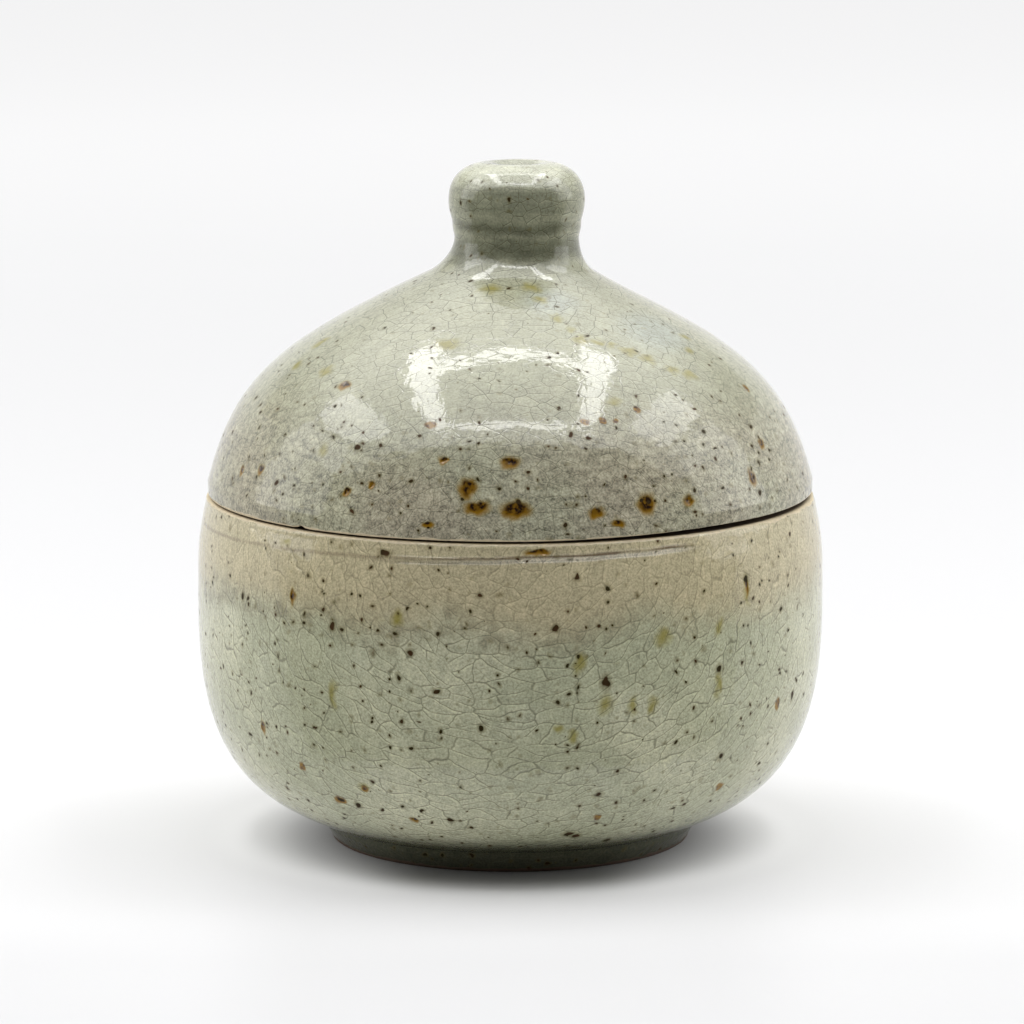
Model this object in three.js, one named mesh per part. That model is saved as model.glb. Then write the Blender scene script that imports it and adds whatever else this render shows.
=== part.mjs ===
// A lidded trinket bowl in wheel-thrown stoneware: a round-bellied bowl on a turned foot ring, and a domed lid
// whose flange drops inside the bowl's mouth. The knob is thrown onto the lid and fired in one piece with it.
// Millimetres, +Z up, with the origin at the centre of the face that the foot ring rests on.

import * as THREE from "three";

// Bowl, outside
const BELLY_DIAMETER = 100; // widest part of the bowl
const BELLY_HEIGHT = 37.6; // where that widest part is
const BELLY_FULLNESS_BELOW = 19.2; // how far the wall stays near its widest below the belly
const BELLY_FULLNESS_ABOVE = 9.8; // and above it
const RIM_DIAMETER = 97.2;
const RIM_HEIGHT = 55.6;
const RIM_LEAN = 12; // degrees that the shoulder leans inwards as it meets the rim
const RIM_FULLNESS = 6.8; // length of that leaning stretch
const RIM_ROUND = 0.8; // rounding of the rim's outer and inner edges
const WALL = 4.4; // thickness of the bowl's wall

// Foot ring
const FOOT_DIAMETER = 60; // where the foot ring grows out of the bowl
const FOOT_TAPER = 1.2; // how much the ring's radius narrows down to the table
const FOOT_HEIGHT = 3.4;
const FOOT_FILLET = 0.9; // inside corner between the ring and the bowl's underside
const FOOT_WIDTH = 5.2; // width of the ring at the table
const FOOT_BEVEL = 0.6;
const FOOT_RECESS = 2.2; // depth of the turned hollow inside the ring
const FOOT_RECESS_ROUND = 1.2;
const UNDERSIDE_RISE = 19; // degrees by which the bowl's underside climbs as it leaves the foot
const UNDERSIDE_FULLNESS = 15.3; // length of that flat stretch

// Bowl, inside
const FLOOR_HEIGHT = 9; // inside floor above the table
const FLOOR_FULLNESS = 38; // how far the floor stays flat
const WELL_FULLNESS = 26; // how far the inside wall stays upright below the belly

// Lid seat
const SEAT_CLEARANCE = 0.3; // between the bowl's rim and the lid's seat
const FLANGE_CLEARANCE = 1; // between the flange and the bowl's mouth, all round
const LID_STEP = 0.3; // how far the lid's edge stands inside the rim's

// Lid, with all heights above its seat
const LID_EDGE_HEIGHT = 2.2; // upright band along the lid's edge
const LID_EDGE_ROUND = 0.5;
const FLANGE_DEPTH = 6;
const FLANGE_WIDTH = 3.2;
const FLANGE_ROUND = 0.9;
const DOME_LEAN = 14; // degrees that the dome leans inwards as it leaves the edge
const DOME_SHOULDER_FULLNESS = 18.2; // how far the dome keeps that lean
const DOME_CROWN_FULLNESS = 21.8; // how far it has taken on the crown's slope
const CROWN_DIAMETER = 27.2; // where the dome turns up into the neck
const CROWN_HEIGHT = 35.1;
const CROWN_SLOPE = 28.7; // degrees that the dome slopes there
const CROWN_SWEEP = 2.4; // length of that slope before the neck sweeps up
const CEILING_HEIGHT = 30.3; // top of the lid's hollow
const CEILING_FULLNESS = 24; // how far the hollow's ceiling stays flat
const HOLLOW_FULLNESS = 17; // how far the hollow's wall stays upright

// Knob, with its heights above the lid's seat too
const NECK_DIAMETER = 19.8; // waist under the knob
const NECK_HEIGHT = 41.1;
const NECK_SWEEP = 2.6; // upright stretch of the sweep below the waist
const KNOB_DIAMETER = 21.7;
const KNOB_HEIGHT = 46.8; // where the knob is widest
const KNOB_SWELL = 2.4; // upright stretches at the waist and at the knob's widest
const KNOB_TOP_HEIGHT = 52.7;
const KNOB_SHOULDER = 4.2; // how upright the knob's shoulder stays
const KNOB_LIP = 3.2; // how far the knob's top stays flat outside the dimple
const DIMPLE_DIAMETER = 9.2; // thumb hollow in the knob's top
const DIMPLE_DEPTH = 1.5;
const DIMPLE_ROUND = 1.6; // flat stretches at the dimple's lip and bottom
const KNOB_OFFSET = 0.8; // the knob was set on by hand, this far right of the lid's axis

// Facets
const SEGMENTS = 56; // round the axis
const OUTSIDE_STEP = 4.2; // longest facet along the bowl's and the dome's outside
const INSIDE_STEP = 5.6; // along their insides
const KNOB_STEP = 2.2; // along the knob and its neck
const CORNER_STEPS = 3; // on the smallest roundings

// Draws half of a section as radius against height, and keeps only the points that its curves need.
class Section {
  constructor(radius, height) {
    this.at = new THREE.Vector2(radius, height);
    this.points = [this.at];
  }

  line(radius, height) {
    this.at = new THREE.Vector2(radius, height);
    this.points.push(this.at);
    return this;
  }

  // A curve to the given point, with the handles by which it leaves here and arrives there.
  curve(leave, arrive, radius, height, step) {
    const end = new THREE.Vector2(radius, height);
    const bend = new THREE.CubicBezierCurve(this.at, this.at.clone().add(leave), end.clone().add(arrive), end);
    const steps = Math.max(CORNER_STEPS, Math.ceil(bend.getLength() / step));
    this.points.push(...bend.getSpacedPoints(steps).slice(1));
    this.at = end;
    return this;
  }

  // A rounding off of the corner where two lines would have met.
  corner(cornerRadius, cornerHeight, radius, height) {
    const end = new THREE.Vector2(radius, height);
    const bend = new THREE.QuadraticBezierCurve(this.at, new THREE.Vector2(cornerRadius, cornerHeight), end);
    this.points.push(...bend.getSpacedPoints(CORNER_STEPS).slice(1));
    this.at = end;
    return this;
  }
}

// A handle of the given length, at so many degrees above the way out from the axis.
function handle(length, degrees) {
  const angle = THREE.MathUtils.degToRad(degrees);
  return new THREE.Vector2(length * Math.cos(angle), length * Math.sin(angle));
}

const OUT = 0;
const UP = 90;
const IN = 180;
const DOWN = 270;

// Turns a section about the Z axis.
function turn(section) {
  return new THREE.LatheGeometry(section.points, SEGMENTS).rotateX(Math.PI / 2);
}

const bellyRadius = BELLY_DIAMETER / 2;
const rimRadius = RIM_DIAMETER / 2;
const mouthRadius = rimRadius - WALL;

function bowlSection() {
  const footTop = FOOT_DIAMETER / 2;
  const footBase = footTop - FOOT_TAPER;
  const recess = footBase - FOOT_WIDTH;
  const underside = handle(FOOT_FILLET, UNDERSIDE_RISE).add(new THREE.Vector2(footTop, FOOT_HEIGHT));
  const shoulderLean = handle(RIM_FULLNESS, DOWN + RIM_LEAN);
  const section = new Section(0, FOOT_RECESS);
  section.line(recess - FOOT_RECESS_ROUND, FOOT_RECESS);
  section.corner(recess, FOOT_RECESS, recess, FOOT_RECESS - FOOT_RECESS_ROUND);
  section.line(recess, FOOT_BEVEL);
  section.line(recess + FOOT_BEVEL, 0);
  section.line(footBase - FOOT_BEVEL, 0);
  section.corner(footBase, 0, footBase, FOOT_BEVEL);
  section.line(footTop, FOOT_HEIGHT - FOOT_FILLET);
  section.corner(footTop, FOOT_HEIGHT, underside.x, underside.y);

  const leaveFoot = handle(UNDERSIDE_FULLNESS, UNDERSIDE_RISE);
  const reachBelly = handle(BELLY_FULLNESS_BELOW, DOWN);
  section.curve(leaveFoot, reachBelly, bellyRadius, BELLY_HEIGHT, OUTSIDE_STEP);
  const leaveBelly = handle(BELLY_FULLNESS_ABOVE, UP);
  section.curve(leaveBelly, shoulderLean, rimRadius, RIM_HEIGHT - RIM_ROUND, OUTSIDE_STEP);
  section.corner(rimRadius, RIM_HEIGHT, rimRadius - RIM_ROUND, RIM_HEIGHT);
  section.line(mouthRadius + RIM_ROUND, RIM_HEIGHT);
  section.corner(mouthRadius, RIM_HEIGHT, mouthRadius, RIM_HEIGHT - RIM_ROUND);

  section.curve(shoulderLean, leaveBelly, bellyRadius - WALL, BELLY_HEIGHT, INSIDE_STEP);
  section.curve(handle(WELL_FULLNESS, DOWN), handle(FLOOR_FULLNESS, OUT), 0, FLOOR_HEIGHT, INSIDE_STEP);
  return section;
}

function lidSection() {
  const edge = rimRadius - LID_STEP;
  const flange = mouthRadius - FLANGE_CLEARANCE;
  const hollow = flange - FLANGE_WIDTH;
  const section = new Section(0, CEILING_HEIGHT);
  section.curve(handle(CEILING_FULLNESS, OUT), handle(HOLLOW_FULLNESS, UP), hollow, 0, INSIDE_STEP);
  section.line(hollow, FLANGE_ROUND - FLANGE_DEPTH);
  section.corner(hollow, -FLANGE_DEPTH, hollow + FLANGE_ROUND, -FLANGE_DEPTH);
  section.line(flange - FLANGE_ROUND, -FLANGE_DEPTH);
  section.corner(flange, -FLANGE_DEPTH, flange, FLANGE_ROUND - FLANGE_DEPTH);
  section.line(flange, 0);
  section.line(edge - LID_EDGE_ROUND, 0);
  section.corner(edge, 0, edge, LID_EDGE_ROUND);
  section.line(edge, LID_EDGE_HEIGHT);

  const leaveEdge = handle(DOME_SHOULDER_FULLNESS, UP + DOME_LEAN);
  const reachCrown = handle(DOME_CROWN_FULLNESS, OUT - CROWN_SLOPE);
  section.curve(leaveEdge, reachCrown, CROWN_DIAMETER / 2, CROWN_HEIGHT, OUTSIDE_STEP);
  const leaveCrown = handle(CROWN_SWEEP, IN - CROWN_SLOPE);
  section.curve(leaveCrown, handle(NECK_SWEEP, DOWN), NECK_DIAMETER / 2, NECK_HEIGHT, KNOB_STEP);

  const swellOut = handle(KNOB_SWELL, UP);
  section.curve(swellOut, handle(KNOB_SWELL, DOWN), KNOB_DIAMETER / 2, KNOB_HEIGHT, KNOB_STEP);
  const closeIn = handle(KNOB_SHOULDER, UP);
  section.curve(closeIn, handle(KNOB_LIP, OUT), DIMPLE_DIAMETER / 2, KNOB_TOP_HEIGHT, KNOB_STEP);
  const dimpleBottom = KNOB_TOP_HEIGHT - DIMPLE_DEPTH;
  section.curve(handle(DIMPLE_ROUND, IN), handle(DIMPLE_ROUND, OUT), 0, dimpleBottom, KNOB_STEP);
  return section;
}

// Slides the knob off the lid's axis, easing in over the sweep between dome and neck.
function setKnobOffAxis(geometry) {
  const position = geometry.getAttribute("position");
  for (let i = 0; i < position.count; i++) {
    const share = THREE.MathUtils.smoothstep(position.getZ(i), CROWN_HEIGHT, NECK_HEIGHT);
    position.setX(i, position.getX(i) + KNOB_OFFSET * share);
  }
  return geometry;
}

function makeBowl() {
  const celadon = new THREE.MeshStandardMaterial({ color: 0xa9ad98, roughness: 0.15, metalness: 0 });
  const bowl = new THREE.Mesh(turn(bowlSection()), celadon);
  bowl.name = "bowl";
  return bowl;
}

function makeLid() {
  const paleCeladon = new THREE.MeshStandardMaterial({ color: 0xb3b3a4, roughness: 0.15, metalness: 0 });
  const lid = new THREE.Mesh(setKnobOffAxis(turn(lidSection())), paleCeladon);
  lid.name = "lid";
  lid.position.z = RIM_HEIGHT + SEAT_CLEARANCE;
  return lid;
}

const trinketBowl = new THREE.Group();
trinketBowl.add(makeBowl(), makeLid());

export default trinketBowl;
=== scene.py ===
"""Dresses the lidded trinket bowl: thrown walls, crackled celadon glaze with iron blooms, bare clay."""

import math
from collections import namedtuple

import bmesh
import bpy
from bpy.props import FloatProperty, FloatVectorProperty, IntProperty, PointerProperty
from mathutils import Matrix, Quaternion, Vector
from mathutils.geometry import interpolate_bezier


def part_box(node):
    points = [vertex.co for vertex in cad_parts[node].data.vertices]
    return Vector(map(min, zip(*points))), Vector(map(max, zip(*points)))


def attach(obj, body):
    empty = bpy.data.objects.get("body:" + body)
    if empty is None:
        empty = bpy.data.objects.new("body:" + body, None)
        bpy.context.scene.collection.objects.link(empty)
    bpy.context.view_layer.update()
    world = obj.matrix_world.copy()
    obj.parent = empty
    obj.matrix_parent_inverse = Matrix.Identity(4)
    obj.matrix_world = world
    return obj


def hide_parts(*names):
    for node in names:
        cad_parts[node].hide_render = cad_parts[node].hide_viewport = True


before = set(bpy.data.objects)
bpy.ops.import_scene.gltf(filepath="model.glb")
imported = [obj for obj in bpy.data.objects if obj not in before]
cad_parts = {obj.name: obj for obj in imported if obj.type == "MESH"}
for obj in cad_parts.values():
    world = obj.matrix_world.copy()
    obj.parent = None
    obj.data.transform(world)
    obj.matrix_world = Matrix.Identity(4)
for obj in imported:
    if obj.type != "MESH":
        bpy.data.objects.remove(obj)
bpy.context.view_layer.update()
BOWL_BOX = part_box("bowl")
LID_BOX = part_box("lid")

bl_info = {
    "name": "Lidded Trinket Bowl",
    "version": (1, 0, 0),
    "blender": (4, 5, 0),
    "location": "View3D > Sidebar > Trinket Bowl",
    "description": "Builds a hand-thrown lidded bowl with a crackled celadon glaze",
    "category": "Object",
}

MM = 0.001
# How high above the rim the lid's lower stop holds its seat, in millimetres.
SEAT_GAP = 0.3

# Leaves out the height of a place.
FLAT = (1.0, 1.0, 0.0)
# Middle of what a noise gives, on each of its three channels.
NOISE_MIDDLE = (0.5, 0.5, 0.5)

# Names of the values that the section hands on to the turned surface.
LOOSE = "loose_clay"
OUTSIDE = "outside"
DIP_LINE = "dip_line"
DIP_LIP = "dip_lip"


def length(name, description, millimetres):
    size = millimetres * MM
    return FloatProperty(name=name, description=description, default=size, unit="LENGTH", precision=5)


def angle(name, description, degrees):
    return FloatProperty(name=name, description=description, default=math.radians(degrees), unit="ROTATION")


def amount(name, description, value):
    return FloatProperty(name=name, description=description, default=value)


def linear(value):
    """A display value from 0 to 255 as scene-linear light."""
    share = value / 255
    return share / 12.92 if share <= 0.04045 else ((share + 0.055) / 1.055) ** 2.4


def colour(name, description, red, green, blue):
    shade = (linear(red), linear(green), linear(blue))
    return FloatVectorProperty(
        name=name, description=description, default=shade, subtype="COLOR", min=0, max=1
    )


class BowlSizes(bpy.types.PropertyGroup):
    """Sizes of the bowl. Those that the frame shows come from it."""

    belly_diameter: length("Belly diameter", "Widest part", (BOWL_BOX[1].x - BOWL_BOX[0].x) / MM)
    belly_height: length("Belly height", "Height of the widest part", 37.6)
    belly_below: length("Fullness below", "How far the wall stays wide below the belly", 19.2)
    belly_above: length("Fullness above", "How far the wall stays wide above the belly", 9.8)
    rim_diameter: length("Rim diameter", "Outside of the rim", 97.2)
    rim_height: length("Rim height", "Top of the rim", BOWL_BOX[1].z / MM)
    rim_lean: angle("Rim lean", "Inward lean of the shoulder at the rim", 12)
    rim_fullness: length("Rim fullness", "Length of the leaning stretch", 6.8)
    rim_round: length("Rim rounding", "Rounding of the rim's edges", 0.8)
    wall: length("Wall", "Thickness of the wall", 4.4)
    foot_diameter: length("Foot diameter", "Foot ring where it leaves the bowl", 60)
    foot_taper: length("Foot taper", "Narrowing of the ring down to the table", 1.2)
    foot_height: length("Foot height", "Height of the foot ring", 3.4)
    foot_fillet: length("Foot fillet", "Inside corner under the bowl", 0.9)
    foot_width: length("Foot width", "Width of the ring at the table", 5.2)
    foot_bevel: length("Foot bevel", "Bevel of the ring's edges", 0.6)
    foot_recess: length("Foot recess", "Depth of the hollow inside the ring", 2.2)
    recess_round: length("Recess rounding", "Rounding inside that hollow", 1.2)
    underside_rise: angle("Underside rise", "Climb of the underside as it leaves the foot", 19)
    underside_fullness: length("Underside fullness", "Length of that stretch", 15.3)
    floor_height: length("Floor height", "Inside floor above the table", 9)
    floor_fullness: length("Floor fullness", "How far the floor stays flat", 38)
    well_fullness: length("Well fullness", "How far the inside wall stays upright", 26)


class LidSizes(bpy.types.PropertyGroup):
    """Sizes of the lid, with heights above its seat."""

    seat_height: length("Seat height", "Height of the seat above the table", BOWL_BOX[1].z / MM + SEAT_GAP)
    edge_diameter: length("Edge diameter", "Outside of the lid's edge", (LID_BOX[1].x - LID_BOX[0].x) / MM)
    edge_height: length("Edge height", "Upright band along the edge", 2.2)
    edge_round: length("Edge rounding", "Rounding of the lower edge", 0.5)
    flange_diameter: length("Flange diameter", "Outside of the locating flange", 86.4)
    flange_depth: length("Flange depth", "How far the flange drops into the mouth", 6)
    flange_width: length("Flange width", "Thickness of the flange", 3.2)
    flange_round: length("Flange rounding", "Rounding of the flange's edges", 0.9)
    dome_lean: angle("Dome lean", "Inward lean as the dome leaves the edge", 14)
    dome_shoulder: length("Shoulder fullness", "How far the dome keeps that lean", 18.8)
    dome_crown: length("Crown fullness", "How far it has taken on the crown's slope", 23.0)
    crown_diameter: length("Crown diameter", "Where the dome turns up into the neck", 27.2)
    crown_height: length("Crown height", "Height of that turn", 35.1)
    crown_slope: angle("Crown slope", "Slope of the dome there", 27.5)
    crown_sweep: length("Crown sweep", "Length of that slope before the neck", 2.4)
    ceiling_height: length("Ceiling height", "Top of the lid's hollow", 30.3)
    ceiling_fullness: length("Ceiling fullness", "How far the ceiling stays flat", 24)
    hollow_fullness: length("Hollow fullness", "How far the hollow's wall stays upright", 17)
    neck_diameter: length("Neck diameter", "Waist under the knob", 19.8)
    neck_height: length("Neck height", "Height of the waist", 41.1)
    neck_sweep: length("Neck sweep", "Upright stretch below the waist", 2.6)
    knob_diameter: length("Knob diameter", "Widest part of the knob", 21.7)
    knob_height: length("Knob height", "Height of the knob's widest part", 46.8)
    knob_swell: length("Knob swell", "Upright stretches at waist and knob", 2.4)
    knob_top: length("Knob top", "Top of the knob", (LID_BOX[1].z - BOWL_BOX[1].z) / MM - SEAT_GAP)
    knob_shoulder: length("Knob shoulder", "How upright the knob's shoulder stays", 4.2)
    knob_lip: length("Knob lip", "How far the top stays flat outside the dimple", 3.2)
    dimple_diameter: length("Dimple diameter", "Thumb hollow in the knob's top", 9.2)
    dimple_depth: length("Dimple depth", "Depth of that hollow", 1.5)
    dimple_round: length("Dimple rounding", "Flat stretches at its lip and bottom", 1.6)
    knob_offset: length("Knob offset", "How far right of the axis the knob was set", 1.1)
    ridge_height: length("Ridge height", "Height of the thrown ridge below the waist", 42.3)
    ridge_depth: length("Ridge depth", "How far that ridge stands out", 0.2)
    ridge_width: length("Ridge width", "Half width of that ridge", 1.0)
    edge_lift: length("Edge lift", "How far the edge stands off the rim on the right", 0.5)
    chip_depth: length("Chip depth", "Small nick in the lower edge", 0.45)


class ClayMarks(bpy.types.PropertyGroup):
    """What the maker's hands and the kiln left on the surface."""

    bearings: IntProperty(name="Bearings", description="Facets round the axis", default=360, min=16)
    wobble: length("Wobble", "Slow waves of the wall", 0.22)
    wobble_size: length("Wobble size", "Size of those waves", 34)
    ring_depth: length("Ring depth", "Depth of the throwing rings", 0.008)
    ring_pitch: length("Ring pitch", "Height between throwing rings", 4.4)
    peel_depth: length("Peel depth", "Depth of the glaze's pebbled skin", 0.018)
    peel_size: length("Peel size", "Size of its pebbles", 2.7)
    dip_depth: length("Dip depth", "Depth of the crease where two coats of glaze meet", 0.24)
    dip_drop: length("Dip drop", "How far below the rim that crease runs", 2.7)
    dip_tilt: length("Dip tilt", "How far the crease climbs and falls round the bowl", 1.3)
    dip_width: length("Dip width", "Half width of the crease", 0.42)


class GlazeLook(bpy.types.PropertyGroup):
    """Colours of the glaze and the clay, with painted shade and highlights among them, and the scale of the
    crackle.
    """

    celadon: colour("Celadon", "Grey-green of the belly", 191, 191, 163)
    celadon_deep: colour("Deep celadon", "Where the glaze lies thick", 174, 176, 148)
    beige: colour("Beige", "Warm band where the glaze is thin", 186, 175, 142)
    smoke: colour("Smoke", "Grey cloud under that band", 118, 114, 92)
    pale: colour("Pale", "Milky glaze on the dome", 196, 197, 174)
    milk: colour("Milk", "Milky green of the lid", 164, 165, 141)
    grey: colour("Grey", "Rosy grey of the lid's lower dome", 163, 157, 136)
    # Waist: glaze pooled under the knob, made darker still as painted shade where the knob shades the neck.
    waist: colour("Waist", "Pooled glaze under the knob", 103, 105, 86)
    # Olive: glaze pooled at the foot, deepened as painted shade under the belly; also the painted shade in the
    # knob's groove.
    olive_pool_and_shade: colour("Olive", "Pooled glaze at the foot", 56, 58, 40)
    crack: colour("Crack", "Stained crackle lines", 84, 82, 62)
    umber: colour("Umber", "Stain round a speck", 104, 94, 48)
    iron: colour("Iron", "Burnt iron specks", 42, 34, 8)
    amber: colour("Amber", "Iron bleeding into the glaze", 138, 101, 16)
    burnt: colour("Burnt", "Dark middle of an iron bloom", 36, 18, 1)
    moss: colour("Moss", "Olive bloom round iron", 140, 131, 46)
    rust: colour("Rust", "Red-brown burst iron", 80, 47, 28)
    haze: colour("Haze", "Bluish milk in the thick glaze", 164, 172, 168)
    knob: colour("Knob", "Grey-green of the knob", 119, 121, 102)
    clay: colour("Clay", "Thin glaze over clay along the rim", 200, 186, 156)
    # Lip: painted highlight where the lip below the crease catches the overhead lights.
    lip: colour("Lip", "White edge of the upper coat of glaze", 238, 231, 212)
    # Toasted clay: bare stoneware of the foot, and painted shade in the gap at the seat and in the crease under
    # the rim.
    toasted_clay_and_shade: colour("Toasted clay", "Bare stoneware of the seat and the foot", 92, 73, 57)
    gloss: amount("Gloss", "Roughness of the glaze", 0.035)
    crack_size: length("Crackle size", "Height of the cells in the net of cracks", 1.9)
    lid_crack_size: length("Lid crackle size", "Size of those cells on the lid", 3.0)
    crack_width: length("Crack width", "Half width of a crack", 0.11)
    crack_depth: length("Crack depth", "Depth of the furrow along a crack", 0.038)
    grain_size: length("Grain size", "Size of the glaze's fine mottling", 0.32)
    grain_depth: amount("Grain depth", "How far that mottling darkens and lightens", 1.2)
    grain_relief: length("Grain relief", "How far it stands out", 0.0012)
    pebble_relief: length("Pebble relief", "Depth of the glaze's pebbled shine", 0.05)
    ripple_relief: length("Ripple relief", "Depth of the fine rings that the wheel left", 0.008)
    dimple_relief: length("Dimple relief", "Depth of the pinholes that healed over in the kiln", 0.005)


class StudioLook(bpy.types.PropertyGroup):
    """Camera, lights and floor."""

    lens: FloatProperty(name="Lens", description="Focal length on a 36 mm frame", default=196, unit="CAMERA")
    camera_back: length("Camera distance", "How far in front of the axis the camera stands", 880)
    camera_side: length("Camera side", "How far right of the axis it stands", 0.3)
    camera_height: length("Camera height", "Height of the camera", 202)
    camera_pitch: angle("Camera pitch", "How far it looks down", 9.65)
    ring_height: length("Light height", "Height of the overhead frame of lights", 680)
    ring_power: amount("Light power", "Radiance of the overhead frame", 6.0)
    ring_gleam: amount("Light gleam", "How brightly the frame shows in the glaze", 6.5)
    side_strip: length("Side strips", "How far right and left of the axis the frame's sides hang", 237)
    side_strip_width: length("Side strip width", "Width of the frame's sides", 79.8)
    side_strip_length: length("Side strip length", "Length of the frame's sides", 600)
    side_strip_splay: angle("Side strip splay", "How far the frame's sides open towards the back", 4.5)
    side_strip_boost: amount("Side strip boost", "How much brighter its sides are than its front", 1.25)
    cross_strip_length: length("Cross strip length", "Length of the frame's front and back", 396)
    front_strip: length("Front strip", "How far in front of the axis the frame's front hangs", 282)
    front_strip_width: length("Front strip width", "Width of the frame's front", 66)
    back_strip: length("Back strip", "How far behind the axis the frame's back hangs", 172.2)
    back_strip_width: length("Back strip width", "Width of the frame's back", 48)
    back_strip_boost: amount("Back strip boost", "How much brighter its back is than its front", 1.05)
    ceiling_gleam: amount("Ceiling gleam", "How brightly the white ceiling shows in the glaze", 3.1)
    side_power: amount("Side power", "Radiance of the side panels", 2.8)
    side_gleam: amount("Side gleam", "How brightly they show in the glaze", 3.3)
    wall_power: amount("Wall power", "Radiance of the white walls beside the bowl", 1.0)
    wall_gleam: amount("Wall gleam", "How brightly those walls show in the glaze", 1.55)
    back_light: amount("Back light", "Radiance of the white surroundings behind", 0.95)
    ceiling_light: amount("Ceiling light", "Radiance of the white ceiling in front", 0.45)
    front_light: amount("Front light", "Radiance of the dim room in front", 0.06)
    back_glow: amount("Back glow", "Radiance that keeps the floor white away from the lights", 0.34)
    near_glow: amount("Near glow", "Light that the white tent throws on the floor", 0.235)
    side_glow: amount("Side glow", "Light that the white walls throw under the belly's sides", 0.15)
    near_floor: length("Near floor", "How far the floor shows in the glaze", 68)
    floor: colour("Floor", "Pale floor", 190, 190, 191)


class Wire:
    """A socket in a node tree. Arithmetic on it adds Math nodes."""

    def __init__(self, graph, socket):
        self.graph = graph
        self.socket = socket

    def __add__(self, other):
        return self.graph.math("ADD", self, other)

    __radd__ = __add__

    def __sub__(self, other):
        return self.graph.math("SUBTRACT", self, other)

    def __rsub__(self, other):
        return self.graph.math("SUBTRACT", other, self)

    def __mul__(self, other):
        return self.graph.math("MULTIPLY", self, other)

    __rmul__ = __mul__

    def __truediv__(self, other):
        return self.graph.math("DIVIDE", self, other)

    def __rtruediv__(self, other):
        return self.graph.math("DIVIDE", other, self)

    def least(self, other):
        return self.graph.math("MINIMUM", self, other)

    def most(self, other):
        return self.graph.math("MAXIMUM", self, other)


class Graph:
    """Builds a node tree, for a surface or for a shape."""

    def __init__(self, tree):
        self.tree = tree

    def node(self, kind, settings=None, sockets=None):
        node = self.tree.nodes.new(kind)
        for name, value in (settings or {}).items():
            setattr(node, name, value)
        for name, value in (sockets or {}).items():
            if isinstance(value, Wire):
                self.tree.links.new(value.socket, node.inputs[name])
            else:
                node.inputs[name].default_value = value
        return node

    def wire(self, kind, settings=None, sockets=None, output=0):
        return Wire(self, self.node(kind, settings, sockets).outputs[output])

    def math(self, operation, *values):
        return self.wire("ShaderNodeMath", {"operation": operation}, dict(enumerate(values)))

    def vector(self, operation, *values):
        return self.wire("ShaderNodeVectorMath", {"operation": operation}, dict(enumerate(values)))

    def span(self, vector):
        return self.wire("ShaderNodeVectorMath", {"operation": "LENGTH"}, {0: vector}, "Value")

    def scaled(self, vector, factor):
        return self.wire("ShaderNodeVectorMath", {"operation": "SCALE"}, {0: vector, "Scale": factor})

    def smooth(self, value, low, high):
        """Eases from 0 at low to 1 at high, whichever is larger."""
        sockets = {"Value": value, "From Min": low, "From Max": high}
        return self.wire("ShaderNodeMapRange", {"interpolation_type": "SMOOTHSTEP"}, sockets)

    def bell(self, value, centre, width):
        """1 at the centre, easing to 0 a width away on both sides."""
        return 1 - self.smooth(self.math("ABSOLUTE", value - centre), 0.0, width)

    def noise(self, point, size, detail=1.0, output=0):
        sockets = {"Vector": point, "Scale": 1 / size, "Detail": detail}
        return self.wire("ShaderNodeTexNoise", {}, sockets, output)

    def shift(self, point, size, reach):
        """Moves a point by a soft random push of up to about the reach."""
        push = self.vector("SUBTRACT", self.noise(point, size, 0.0, "Color"), NOISE_MIDDLE)
        return self.vector("ADD", point, self.scaled(push, 2 * reach))

    def mix(self, share, first, second):
        settings = {"data_type": "RGBA", "clamp_factor": True}
        return self.wire("ShaderNodeMix", settings, {0: share, 6: first, 7: second}, 2)

    def parts(self, vector):
        """The three numbers of a vector."""
        node = self.node("ShaderNodeSeparateXYZ", {}, {0: vector})
        return [Wire(self, socket) for socket in node.outputs]


def blank_material(name):
    material = bpy.data.materials.new(name)
    material.use_nodes = True
    material.node_tree.nodes.clear()
    return material, Graph(material.node_tree)


def paint(colour_value):
    return (*colour_value, 1.0)


# Steps of a first walk along a curve to measure it, and the fewest that a curve is drawn with.
MEASURE_STEPS = 32
FEWEST_STEPS = 3
# Length of a rounded corner's handles as a share of the way to the corner.
ROUND_HANDLE = 2 / 3


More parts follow.
